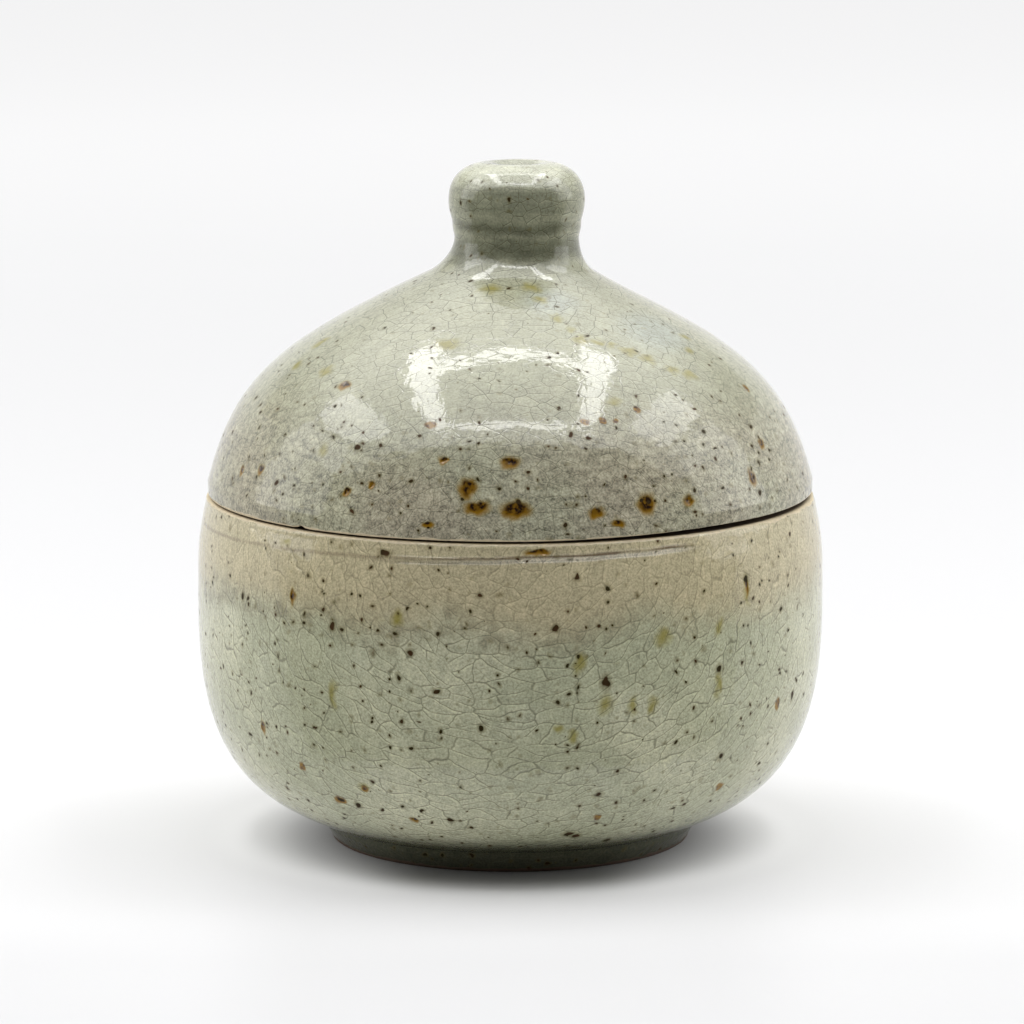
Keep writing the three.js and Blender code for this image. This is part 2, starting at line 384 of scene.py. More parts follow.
class Section:
    """Half of a turned section. Each point keeps how loose the clay is there, and whether it is outside."""

    def __init__(self, radius, height):
        self.at = Vector((radius, height))
        self.points = []
        self.surface(loose=0.0, outside=0.0)
        self.keep(self.at)

    def keep(self, point):
        self.points.append((point.x, point.y, self.loose, self.outside))

    def surface(self, loose, outside):
        self.loose = loose
        self.outside = outside

    def line(self, radius, height, step):
        end = Vector((radius, height))
        steps = max(1, math.ceil((end - self.at).length / step))
        for count in range(1, steps + 1):
            self.keep(self.at.lerp(end, count / steps))
        self.at = end

    def curve(self, leave, arrive, radius, height, step):
        end = Vector((radius, height))
        knots = [knot.to_3d() for knot in (self.at, self.at + leave, end + arrive, end)]
        rough = interpolate_bezier(*knots, MEASURE_STEPS + 1)
        reach = sum((b - a).length for a, b in zip(rough, rough[1:]))
        steps = max(FEWEST_STEPS, math.ceil(reach / step))
        for point in interpolate_bezier(*knots, steps + 1)[1:]:
            self.keep(point.to_2d())
        self.at = end

    def corner(self, radius, height, end_radius, end_height, step):
        """Rounds off the corner at radius and height."""
        corner = Vector((radius, height))
        end = Vector((end_radius, end_height))
        leave, arrive = (corner - self.at) * ROUND_HANDLE, (corner - end) * ROUND_HANDLE
        self.curve(leave, arrive, end_radius, end_height, step)

    def outer_radius(self, height):
        """Radius of the outside at a height."""
        outside = [(z, r) for r, z, loose, outer in self.points if outer]
        for (low, first), (high, second) in zip(outside, outside[1:]):
            if min(low, high) <= height <= max(low, high) and low != high:
                return first + (second - first) * (height - low) / (high - low)
        raise ValueError("the section has no outside at height %.4f" % height)


def handle(length_value, turn):
    """A way of that length, turned up from straight out."""
    return Vector((length_value * math.cos(turn), length_value * math.sin(turn)))


# Ways to go in the plane of a section, and how closely its points stand.
OUT = 0.0
UP = math.pi / 2
IN = math.pi
DOWN = -math.pi / 2
FINE = 0.18 * MM
MEDIUM = 0.62 * MM
COARSE = 1.6 * MM


def bowl_section(bowl):
    foot = bowl.foot_diameter / 2
    base = foot - bowl.foot_taper
    recess = base - bowl.foot_width
    rim = bowl.rim_diameter / 2
    mouth = rim - bowl.wall
    belly = bowl.belly_diameter / 2
    lean = handle(bowl.rim_fullness, DOWN + bowl.rim_lean)
    root = Vector((foot, bowl.foot_height)) + handle(bowl.foot_fillet, bowl.underside_rise)

    section = Section(0, bowl.foot_recess)
    section.line(recess - bowl.recess_round, bowl.foot_recess, COARSE)
    section.corner(recess, bowl.foot_recess, recess, bowl.foot_recess - bowl.recess_round, MEDIUM)
    section.line(recess, bowl.foot_bevel, MEDIUM)
    section.line(recess + bowl.foot_bevel, 0, MEDIUM)
    section.line(base - bowl.foot_bevel, 0, COARSE)
    section.surface(loose=0.15, outside=1.0)
    section.corner(base, 0, base, bowl.foot_bevel, FINE)
    section.line(foot, bowl.foot_height - bowl.foot_fillet, MEDIUM / 2)
    section.corner(foot, bowl.foot_height, root.x, root.y, FINE * 2)
    section.surface(loose=1.0, outside=1.0)
    leave = handle(bowl.underside_fullness, bowl.underside_rise)
    section.curve(leave, handle(bowl.belly_below, DOWN), belly, bowl.belly_height, MEDIUM)
    above = handle(bowl.belly_above, UP)
    section.curve(above, lean, rim, bowl.rim_height - bowl.rim_round, FINE * 1.4)
    section.surface(loose=0.1, outside=1.0)
    section.corner(rim, bowl.rim_height, rim - bowl.rim_round, bowl.rim_height, FINE)
    section.surface(loose=0.05, outside=0.0)
    section.line(mouth + bowl.rim_round, bowl.rim_height, MEDIUM)
    section.corner(mouth, bowl.rim_height, mouth, bowl.rim_height - bowl.rim_round, FINE)
    section.surface(loose=0.6, outside=0.0)
    section.curve(lean, above, belly - bowl.wall, bowl.belly_height, COARSE)
    leave, arrive = handle(bowl.well_fullness, DOWN), handle(bowl.floor_fullness, OUT)
    section.curve(leave, arrive, 0, bowl.floor_height, COARSE)
    return section


def lid_section(lid):
    seat = lid.seat_height
    edge = lid.edge_diameter / 2
    flange = lid.flange_diameter / 2
    hollow = flange - lid.flange_width
    tip = seat - lid.flange_depth
    crown = lid.crown_diameter / 2
    dimple = lid.dimple_diameter / 2

    section = Section(0, seat + lid.ceiling_height)
    section.surface(loose=0.6, outside=0.0)
    section.curve(handle(lid.ceiling_fullness, OUT), handle(lid.hollow_fullness, UP), hollow, seat, COARSE)
    section.surface(loose=0.05, outside=0.0)
    section.line(hollow, tip + lid.flange_round, COARSE)
    section.corner(hollow, tip, hollow + lid.flange_round, tip, FINE * 2)
    section.line(flange - lid.flange_round, tip, MEDIUM)
    section.corner(flange, tip, flange, tip + lid.flange_round, FINE * 2)
    section.line(flange, seat, COARSE)
    section.line(edge - lid.edge_round, seat, MEDIUM)
    section.surface(loose=0.3, outside=1.0)
    section.corner(edge, seat, edge, seat + lid.edge_round, FINE)
    section.line(edge, seat + lid.edge_height, MEDIUM / 2)
    section.surface(loose=1.0, outside=1.0)
    leave = handle(lid.dome_shoulder, UP + lid.dome_lean)
    reach = handle(lid.dome_crown, OUT - lid.crown_slope)
    section.curve(leave, reach, crown, seat + lid.crown_height, MEDIUM)
    sweep = handle(lid.crown_sweep, IN - lid.crown_slope)
    rise = handle(lid.neck_sweep, DOWN)
    section.curve(sweep, rise, lid.neck_diameter / 2, seat + lid.neck_height, MEDIUM / 2)
    swell = handle(lid.knob_swell, UP)
    section.curve(swell, -swell, lid.knob_diameter / 2, seat + lid.knob_height, MEDIUM / 2)
    close = handle(lid.knob_shoulder, UP)
    section.curve(close, handle(lid.knob_lip, OUT), dimple, seat + lid.knob_top, MEDIUM / 2)
    bottom = seat + lid.knob_top - lid.dimple_depth
    section.curve(handle(lid.dimple_round, IN), handle(lid.dimple_round, OUT), 0, bottom, MEDIUM)
    return section


def shape_tree(name, sizes):
    """A geometry tree with a mesh, a named number for each size and a material as inputs, and their wires."""
    tree = bpy.data.node_groups.new(name, "GeometryNodeTree")
    inputs = {"Geometry": "NodeSocketGeometry"}
    inputs.update(dict.fromkeys(sizes, "NodeSocketFloat"), Glaze="NodeSocketMaterial")
    for title, kind in inputs.items():
        tree.interface.new_socket(name=title, in_out="INPUT", socket_type=kind)
    tree.interface.new_socket(name="Geometry", in_out="OUTPUT", socket_type="NodeSocketGeometry")
    graph = Graph(tree)
    outputs = graph.node("NodeGroupInput").outputs
    return graph, {output.name: Wire(graph, output) for output in outputs if output.name}


def close_tree(graph, wires, mesh):
    real = graph.wire("GeometryNodeRealizeInstances", {}, {"Geometry": mesh})
    done = graph.wire("GeometryNodeSetMaterial", {}, {"Geometry": real, "Material": wires["Glaze"]})
    graph.node("NodeGroupOutput", {}, {0: done})
    return graph.tree


def bearing_wire(graph, place):
    """Angle round the axis in radians, where 0 faces the viewer and the right is positive, and the height."""
    x, y, z = graph.parts(place)
    return graph.math("ARCTAN2", x, 0 - y), z


def named_float(graph, name):
    return graph.wire("GeometryNodeInputNamedAttribute", {"data_type": "FLOAT"}, {"Name": name})


def store_float(graph, mesh, name, value):
    sockets = {"Geometry": mesh, "Name": name, "Value": value}
    return graph.wire("GeometryNodeStoreNamedAttribute", {"data_type": "FLOAT", "domain": "POINT"}, sockets)


# How near each other points are merged where the turned surface closes.
MERGE_REACH = 0.004 * MM
SKIN_DETAIL = 1.5
# Size of the patches where the throwing rings are strong, as a share of the slow waves' size.
RING_PATCH = 0.6


def thrown_form_tree():
    """Turns a section about the axis, with the waves, throwing rings and pebbled skin of a thrown pot."""
    sizes = (
        "Points", "Bearings", "Wobble", "Wobble Size", "Ring Depth", "Ring Pitch",
        "Peel Depth", "Peel Size", "Seed",
    )
    graph, wires = shape_tree("Thrown Form", sizes)
    rows = wires["Points"]
    grid = {"Size X": 1.0, "Size Y": 1.0, "Vertices X": rows, "Vertices Y": wires["Bearings"] + 1}
    mesh = graph.wire("GeometryNodeMeshGrid", {}, grid)
    # The grid runs from -0.5 to 0.5: along the section one way, and round the axis the other.
    across, round_axis, _ = graph.parts(graph.wire("GeometryNodeInputPosition"))
    index = graph.math("ROUND", (across + 0.5) * (rows - 1))
    turn = (round_axis + 0.5) * math.tau

    def from_section(kind, value):
        sockets = {"Geometry": wires["Geometry"], "Value": value, "Index": index}
        return graph.wire("GeometryNodeSampleIndex", {"data_type": kind, "domain": "POINT"}, sockets)

    point = from_section("FLOAT_VECTOR", graph.wire("GeometryNodeInputPosition"))
    radius, _, height = graph.parts(point)
    right, back = radius * graph.math("SINE", turn), radius * graph.math("COSINE", turn) * -1
    place = graph.wire("ShaderNodeCombineXYZ", {}, {0: right, 1: back, 2: height})
    for name in (LOOSE, OUTSIDE):
        mesh = store_float(graph, mesh, name, from_section("FLOAT", named_float(graph, name)))
    mesh = graph.wire("GeometryNodeSetPosition", {}, {"Geometry": mesh, "Position": place})
    mesh = graph.wire("GeometryNodeMergeByDistance", {}, {"Geometry": mesh, "Distance": MERGE_REACH})

    spot = graph.wire("GeometryNodeInputPosition")
    bearing, height = bearing_wire(graph, spot)
    seeded = graph.vector("ADD", spot, graph.wire("ShaderNodeCombineXYZ", {}, {2: wires["Seed"]}))
    slow = graph.noise(seeded, wires["Wobble Size"]) - 0.5
    skin = graph.noise(seeded, wires["Peel Size"], SKIN_DETAIL) - 0.5
    strength = graph.noise(seeded, wires["Wobble Size"] * RING_PATCH)
    rings = graph.math("SINE", (height / wires["Ring Pitch"]) * math.tau + bearing) * strength
    wave = (slow * wires["Wobble"] + rings * wires["Ring Depth"] + skin * wires["Peel Depth"]) * 2
    push = graph.scaled(graph.wire("GeometryNodeInputNormal"), wave * named_float(graph, LOOSE))
    mesh = graph.wire("GeometryNodeSetPosition", {}, {"Geometry": mesh, "Offset": push})
    mesh = graph.wire("GeometryNodeSetShadeSmooth", {}, {"Geometry": mesh})
    return close_tree(graph, wires, mesh)


def turned(start, end):
    """Two bearings in radians, from degrees."""
    return math.radians(start), math.radians(end)


# The crease: how it wanders, how far round its tilt is turned, and the bearings between which it dies out,
# comes back and is pressed in.
DIP_WANDER_SIZE = 9 * MM
DIP_WANDER = 0.7 * MM
DIP_WANDER_DETAIL = 2.0
DIP_BEARING = math.radians(30)
DIP_ENDS = turned(38, 28)
DIP_RETURNS = (1.5, 2.4)
DIP_PRESSED = turned(-32, -16)
# How much of its half width is at full depth, and where the lip below it starts and ends.
DIP_BOTTOM = 0.2
LIP_TOP = (0.1 * MM, 0.4 * MM)
LIP_FOOT = (0.95 * MM, 0.5 * MM)


def dip_line_tree():
    """Presses in the tilted crease below the rim where two coats of glaze meet."""
    graph, wires = shape_tree("Dip Line", ("Rim Height", "Drop", "Tilt", "Width", "Depth"))
    spot = graph.wire("GeometryNodeInputPosition")
    bearing, height = bearing_wire(graph, spot)
    wander = (graph.noise(spot, DIP_WANDER_SIZE, DIP_WANDER_DETAIL) - 0.5) * DIP_WANDER
    tilt = graph.math("SINE", bearing + DIP_BEARING) * wires["Tilt"]
    below = wires["Rim Height"] - wires["Drop"] + tilt + wander - height
    off = graph.math("ABSOLUTE", below)
    shown = graph.smooth(bearing, *DIP_ENDS).most(graph.smooth(bearing, *DIP_RETURNS))
    shown = shown * named_float(graph, OUTSIDE)
    crease = (1 - graph.smooth(off, wires["Width"] * DIP_BOTTOM, wires["Width"])) * shown
    lip = graph.smooth(below, *LIP_TOP) * graph.smooth(below, *LIP_FOOT) * shown
    mesh = store_float(graph, wires["Geometry"], DIP_LINE, crease)
    mesh = store_float(graph, mesh, DIP_LIP, lip)
    pressed = graph.smooth(bearing, *DIP_PRESSED) * wires["Depth"]
    push = graph.scaled(graph.wire("GeometryNodeInputNormal"), (lip - crease) * pressed)
    mesh = graph.wire("GeometryNodeSetPosition", {}, {"Geometry": mesh, "Offset": push})
    return close_tree(graph, wires, mesh)


# How soft the ridge is, and how far up the dome, as a share of the crown's height, the knob's offset starts.
RIDGE_EASE = 1.6
OFFSET_START = 0.9
# The lid's edge: how high up and between which radii it is lifted, the bearings where the lift rises and falls
# again, and where the nick is.
LIFTED_HEIGHT = 4.0 * MM
LIFTED_RING = (43.6 * MM, 45.5 * MM)
LIFT_RISES = (0.0, 0.8)
LIFT_FALLS = (2.9, 1.4)
CHIP_BEARING, CHIP_REACH = turned(-42, 1.5)
CHIP_HEIGHT = 1.2 * MM


def lid_settling_tree():
    """Sets the knob off the axis, rings its neck, lifts one side of the edge and puts a nick in it."""
    sizes = (
        "Seat", "Crown", "Neck", "Knob Offset", "Ridge", "Ridge Depth", "Ridge Width", "Edge Lift", "Chip",
    )
    graph, wires = shape_tree("Lid Settling", sizes)
    spot = graph.wire("GeometryNodeInputPosition")
    bearing, height = bearing_wire(graph, spot)
    height = height - wires["Seat"]
    outside = named_float(graph, OUTSIDE)
    ridge = graph.bell(height, wires["Ridge"], wires["Ridge Width"] * RIDGE_EASE) * outside
    flat = graph.vector("MULTIPLY", spot, FLAT)
    outwards = graph.scaled(graph.vector("NORMALIZE", flat), ridge * wires["Ridge Depth"])
    aside = graph.smooth(height, wires["Crown"] * OFFSET_START, wires["Neck"]) * outside * wires["Knob Offset"]
    near_edge = graph.smooth(height, LIFTED_HEIGHT, 0.0) * graph.smooth(graph.span(flat), *LIFTED_RING)
    right = graph.smooth(bearing, *LIFT_RISES) * graph.smooth(bearing, *LIFT_FALLS)
    chip = graph.bell(bearing, CHIP_BEARING, CHIP_REACH) * graph.smooth(height, CHIP_HEIGHT, 0.0)
    lift = near_edge * (right * wires["Edge Lift"] + chip * wires["Chip"])
    push = graph.vector("ADD", outwards, graph.wire("ShaderNodeCombineXYZ", {}, {0: aside, 2: lift}))
    mesh = graph.wire("GeometryNodeSetPosition", {}, {"Geometry": wires["Geometry"], "Offset": push})
    return close_tree(graph, wires, mesh)


def section_object(name, section):
    """A mesh of the section's points, which the geometry trees turn into the piece."""
    mesh = bpy.data.meshes.new(name)
    mesh.from_pydata([(r, 0, z) for r, z, loose, outside in section.points], [], [])
    for column, attribute in ((2, LOOSE), (3, OUTSIDE)):
        values = mesh.attributes.new(attribute, "FLOAT", "POINT")
        values.data.foreach_set("value", [point[column] for point in section.points])
    piece = bpy.data.objects.new(name, mesh)
    bpy.context.scene.collection.objects.link(piece)
    return piece


def add_tree(piece, tree, values):
    modifier = piece.modifiers.new(tree.name, "NODES")
    modifier.node_group = tree
    for item in tree.interface.items_tree:
        if item.in_out == "INPUT" and item.name in values:
            modifier[item.identifier] = values[item.name]


def settle(piece):
    """Turns the evaluated shape into the piece's own plain mesh."""
    bpy.context.view_layer.update()
    evaluated = piece.evaluated_get(bpy.context.evaluated_depsgraph_get())
    made = bpy.data.meshes.new_from_object(evaluated)
    piece.modifiers.clear()
    piece.data = made
    shell = bmesh.new()
    shell.from_mesh(made)
    bmesh.ops.recalc_face_normals(shell, faces=shell.faces)
    shell.to_mesh(made)
    shell.free()


BOWL_SEED = 0.0
LID_SEED = 3.7


def thrown_values(section, marks, seed, material):
    return {
        "Points": float(len(section.points)),
        "Bearings": float(marks.bearings),
        "Wobble": marks.wobble,
        "Wobble Size": marks.wobble_size,
        "Ring Depth": marks.ring_depth,
        "Ring Pitch": marks.ring_pitch,
        "Peel Depth": marks.peel_depth,
        "Peel Size": marks.peel_size,
        "Seed": seed,
        "Glaze": material,
    }


# A stain that iron in the clay left in the glaze: where it is in degrees and millimetres, and its half sizes.
Bloom = namedtuple("Bloom", "bearing height half_width half_height")


def blooms(*rows):
    return [Bloom(*row) for row in rows]


BOWL_AMBER = blooms(
    (-42, 45.5, 0.6, 1.3), (47, 46.5, 0.5, 1.6), (5, 54.4, 2.0, 0.5), (-29, 16.1, 0.6, 0.6),
    (-52, 23.6, 0.6, 1.1), (-20, 11.0, 0.8, 0.6),
)
BOWL_IRON = blooms(
    (-23, 53.7, 1.1, 0.6), (-36, 13.3, 0.8, 0.6), (-32, 12.7, 0.8, 0.6), (-33, 41.8, 0.6, 0.7),
    (47, 47.8, 0.7, 0.9), (-13, 33.0, 0.8, 0.5), (17, 34.1, 0.9, 1.2), (-5, 27.4, 0.6, 0.6),
    (8, 42.8, 0.7, 0.5), (-20, 34.8, 0.5, 0.7), (40, 34.5, 0.8, 0.8), (13, 8.5, 1.1, 0.8),
    (15, 8.0, 0.9, 0.7), (17, 15.9, 0.7, 0.7), (24, 6.3, 0.8, 0.6), (43, 19.8, 0.7, 0.8),
    (64, 27.0, 0.6, 1.1), (-56, 43.8, 0.6, 0.8), (12, 50.7, 0.5, 0.7), (-18, 23.7, 0.6, 0.5),
    (-12, 11.6, 0.7, 0.5), (12, 38.4, 0.5, 0.5),
)
BOWL_RUST = blooms(
    (-36, 13.2, 1.3, 1.0), (-43, 18.1, 0.7, 1.0), (46, 14.3, 0.9, 1.0), (18, 11.6, 0.7, 1.0),
    (58, 26.3, 0.8, 1.2),
)
BOWL_MOSS = blooms(
    (12, 37.4, 1.1, 2.0), (17, 30.6, 1.5, 1.8), (22, 30.2, 1.0, 1.6), (26, 29.9, 1.1, 1.8),
    (28, 40.6, 1.7, 1.7), (40, 41.0, 0.9, 1.6), (40, 31.8, 0.8, 2.4), (47, 46.0, 0.9, 2.6),
    (9, 27.3, 0.9, 0.9), (11, 26.0, 1.0, 1.2), (-45, 53.6, 1.2, 0.7), (-33, 31.0, 0.9, 2.6),
    (-29, 16.3, 1.1, 1.0), (-20, 44.0, 1.2, 1.6),
)
LID_AMBER = blooms(
    (-8, 63.8, 1.3, 1.7), (-6, 61.0, 1.9, 1.0), (1, 60.7, 2.2, 1.3), (0, 67.6, 1.4, 1.0),
    (-13, 67.8, 0.8, 0.6), (26, 60.9, 1.5, 1.6), (35, 60.7, 1.0, 0.8), (16, 60.0, 1.2, 0.8),
    (20, 58.3, 1.0, 0.6), (-15, 58.3, 0.8, 0.5), (53, 62.6, 0.9, 1.5), (-43, 76.9, 1.1, 0.8),
    (-27, 63.7, 0.6, 0.6), (-32, 62.2, 0.6, 0.7), (-56, 63.5, 0.8, 0.9), (-63, 62.6, 0.6, 0.9),
    (68, 74.6, 0.7, 1.0), (60, 67.1, 0.7, 1.0),
)
LID_IRON = blooms(
    (-19, 64.5, 0.5, 0.6), (-9, 62.2, 0.5, 0.5), (25, 61.6, 0.5, 0.5), (-30, 59.4, 0.6, 0.5),
    (-32, 68.8, 0.7, 0.6), (-50, 61.9, 0.6, 0.6), (10, 58.6, 0.6, 0.6), (54, 60.2, 0.6, 0.7),
    (44, 66.2, 0.5, 0.6),
)
LID_RUST = blooms(
    (16, 73.1, 0.9, 0.7), (20, 73.1, 0.8, 0.7), (23, 73.0, 0.7, 0.6), (29, 74.2, 0.8, 0.7),
    (-17, 72.6, 1.0, 0.7),
)
LID_MOSS = blooms(
    (15, 88.8, 1.4, 1.0), (19, 86.4, 1.3, 1.1), (22, 85.0, 1.2, 0.9), (24, 83.7, 1.4, 0.9),
    (29, 83.3, 1.4, 0.7), (33, 82.7, 1.4, 0.7), (37, 81.8, 1.6, 0.8), (41, 80.7, 1.7, 0.9),
    (46, 78.8, 1.8, 1.0), (50, 77.8, 1.5, 0.8), (67, 82.2, 1.2, 1.2), (60, 80.6, 1.0, 1.2),
    (-20, 83.2, 2.4, 0.9), (-12, 90.2, 2.2, 0.9), (13, 90.4, 1.8, 0.8), (-71, 81.2, 1.6, 1.2),
    (-68, 78.0, 1.4, 1.2), (-53, 78.4, 1.6, 0.9), (-40, 68.0, 1.2, 1.6), (24, 75.5, 1.2, 1.0),
)
LID_HAZE = blooms(
    (56, 83.6, 8.0, 4.0), (20, 88.5, 5.0, 2.5),
)
# The larger blooms have a twin this many degrees further round, from this half width on.
BACK_TURN = 163
TWIN_SIZE = 0.9


def bloom_distance(graph, point, section, group):
    """Distance to the nearest bloom or twin as a share of its size."""
    nearest = None
    for bloom in group:
        radius = section.outer_radius(bloom.height * MM) / MM
        turns = (0, BACK_TURN) if bloom.half_width >= TWIN_SIZE else (0,)
        for turn in turns:
            bearing = math.radians(bloom.bearing + turn)
            centre = (radius * math.sin(bearing), -radius * math.cos(bearing), bloom.height)
            sizes = (bloom.half_width, bloom.half_width, bloom.half_height)
            share = graph.span(graph.vector("DIVIDE", graph.vector("SUBTRACT", point, centre), sizes))
            nearest = share if nearest is None else nearest.least(share)
    return nearest


# Chances between which a speck grows from nothing to its full reach.
SPECK_CHANCE = (0.3, 1.0)
# Where a speck and its stain start to fade and where the stain ends, as shares of the speck's radius.
SPECK_CORE = 0.5
STAIN_CORE = 0.8
STAIN_REACH = 1.9
# Keeps a divisor or the width of a fade from being nothing.
TINY = 0.001


def specks(graph, point, size, reach, gather):
    """Round specks of up to the given reach, in cells of the given size, and the stain round each of them."""
    node = graph.node("ShaderNodeTexVoronoi", {"feature": "F1"}, {"Vector": point, "Scale": 1 / size})
    distance = Wire(graph, node.outputs["Distance"]) * size
    chance, _, _ = graph.parts(Wire(graph, node.outputs["Color"]))
    radius = graph.smooth(chance + gather, *SPECK_CHANCE) * reach
    speck = 1 - graph.smooth(distance, radius * SPECK_CORE, radius + TINY)
    stain = 1 - graph.smooth(distance, radius * STAIN_CORE, radius * STAIN_REACH + TINY)
    return speck, stain


# A colour laid over what is below it: where it lies, and how much of it shows there.
Coat = namedtuple("Coat", "mask colour strength")

# How the bowl's wall is laid flat for its crackle, in millimetres: its middle radius, how far its radius counts
# as height, the size and reach of its slow wander, and how the rings open out away from their centre.
WALL_RADIUS = 44
WALL_LEAN = 0.5
WALL_WANDER_SIZE, WALL_WANDER = 8, 5
RING_OPENING, RING_START = 0.8, 12

# The net of cracks, as shares of the size of its cells.
BEND_SIZE, BEND_REACH = 0.6, 0.16
FINE_CELL = 0.55
STRONG_PATCH = 1.7
# The lines along it, as shares of a crack's half width.
LINE_CORE = 0.1
FINE_LINE = 0.8
# Painted highlight on the pale lip below each crack: how far it is shifted, its width and its full core.
HIGHLIGHT_LEAD, HIGHLIGHT_WIDTH, HIGHLIGHT_CORE = 2, 1.7, 0.3
FURROW_WIDTH, FINE_FURROW_WIDTH = 2.2, 1.6
# Noise between which a patch of cracks comes in, and how far one cell may be lighter than another.
STRONG_SHOWS, WEAK_SHOWS = (0.22, 0.5), (0.38, 0.62)
CELL_TONE = 0.1

# How iron runs in the glaze, in millimetres: the size and reach of its ragged edge, the same for moss, and the
# shift that sets the dark middle of a bloom above its own middle.
RAGGED_SIZE, RAGGED_REACH = 1.2, 0.4
MOSS_RAGGED_SIZE, MOSS_RAGGED_REACH = 2.5, 0.7
CORE_RISE = (0.0, 0.0, -0.3)
# Edges of the blooms, as shares of their size, from nothing to full.
AMBER_EDGE, AMBER_CORE, AMBER_HALO, AMBER_PIT = (1.35, 0.6), (1.15, 0.45), (1.6, 0.8), (0.9, 0.1)
RUST_EDGE, RUST_SHARE = (1.1, 0.6), 0.9
IRON_EDGE, IRON_STAIN = (0.9, 0.55), (1.6, 0.8)
MOSS_EDGE, MOSS_SHARE = (1.3, 0.2), 0.75
# Cells and largest radius of the small and the large specks, in millimetres.
SMALL_SPECKS, LARGE_SPECKS = (1.5, 0.42), (5.0, 0.55)
# How much of an amber bloom's middle is burnt everywhere, and how much more of it in patches.
BURNT_LEAST, BURNT_PATCHES = 0.42, 0.58
PIT_DEPTH = 0.07

# Sizes, in millimetres, of the upright streaks, the brushed streaks and the blotches, and how far the first and
# the painted highlights on the pale lips of the cracks change the tone.
STREAK_SIZE, STREAK_TONE = 1.8, 0.2
BRUSH_SIZE, BLOTCH_SIZE = 0.8, 1.1
CRACK_HIGHLIGHT_TONE = 0.3
# Sizes of what shows in the shine, in millimetres, and how the polish varies and is lost along the cracks.
PEBBLE_SIZE, PEBBLE_DETAIL = 2.0, 2.0
RIPPLE_SIZE, DIMPLE_SIZE = 1.5, 0.9
POLISH_SIZE, POLISH_REACH, CRACK_ROUGHNESS = 5, 0.05, 0.15

GLAZE_IOR = 1.52
# Roughness and shine of iron that breaks through the glaze, and how dull each kind of it is.
DULL_ROUGHNESS, DULL_SHINE = 0.8, 0.1
DULL_SHARE, DULL_RUST, DULL_AMBER = 0.9, 0.5, 0.2
# The bare clay: its roughness and relief, and the size of its sand and how much darker and lighter that is.
CLAY_ROUGHNESS, CLAY_RELIEF = 0.78, 0.08
SAND_SIZE, SAND_DETAIL, SAND_DARK, SAND_RANGE = 0.6, 2.0, 0.7, 0.6


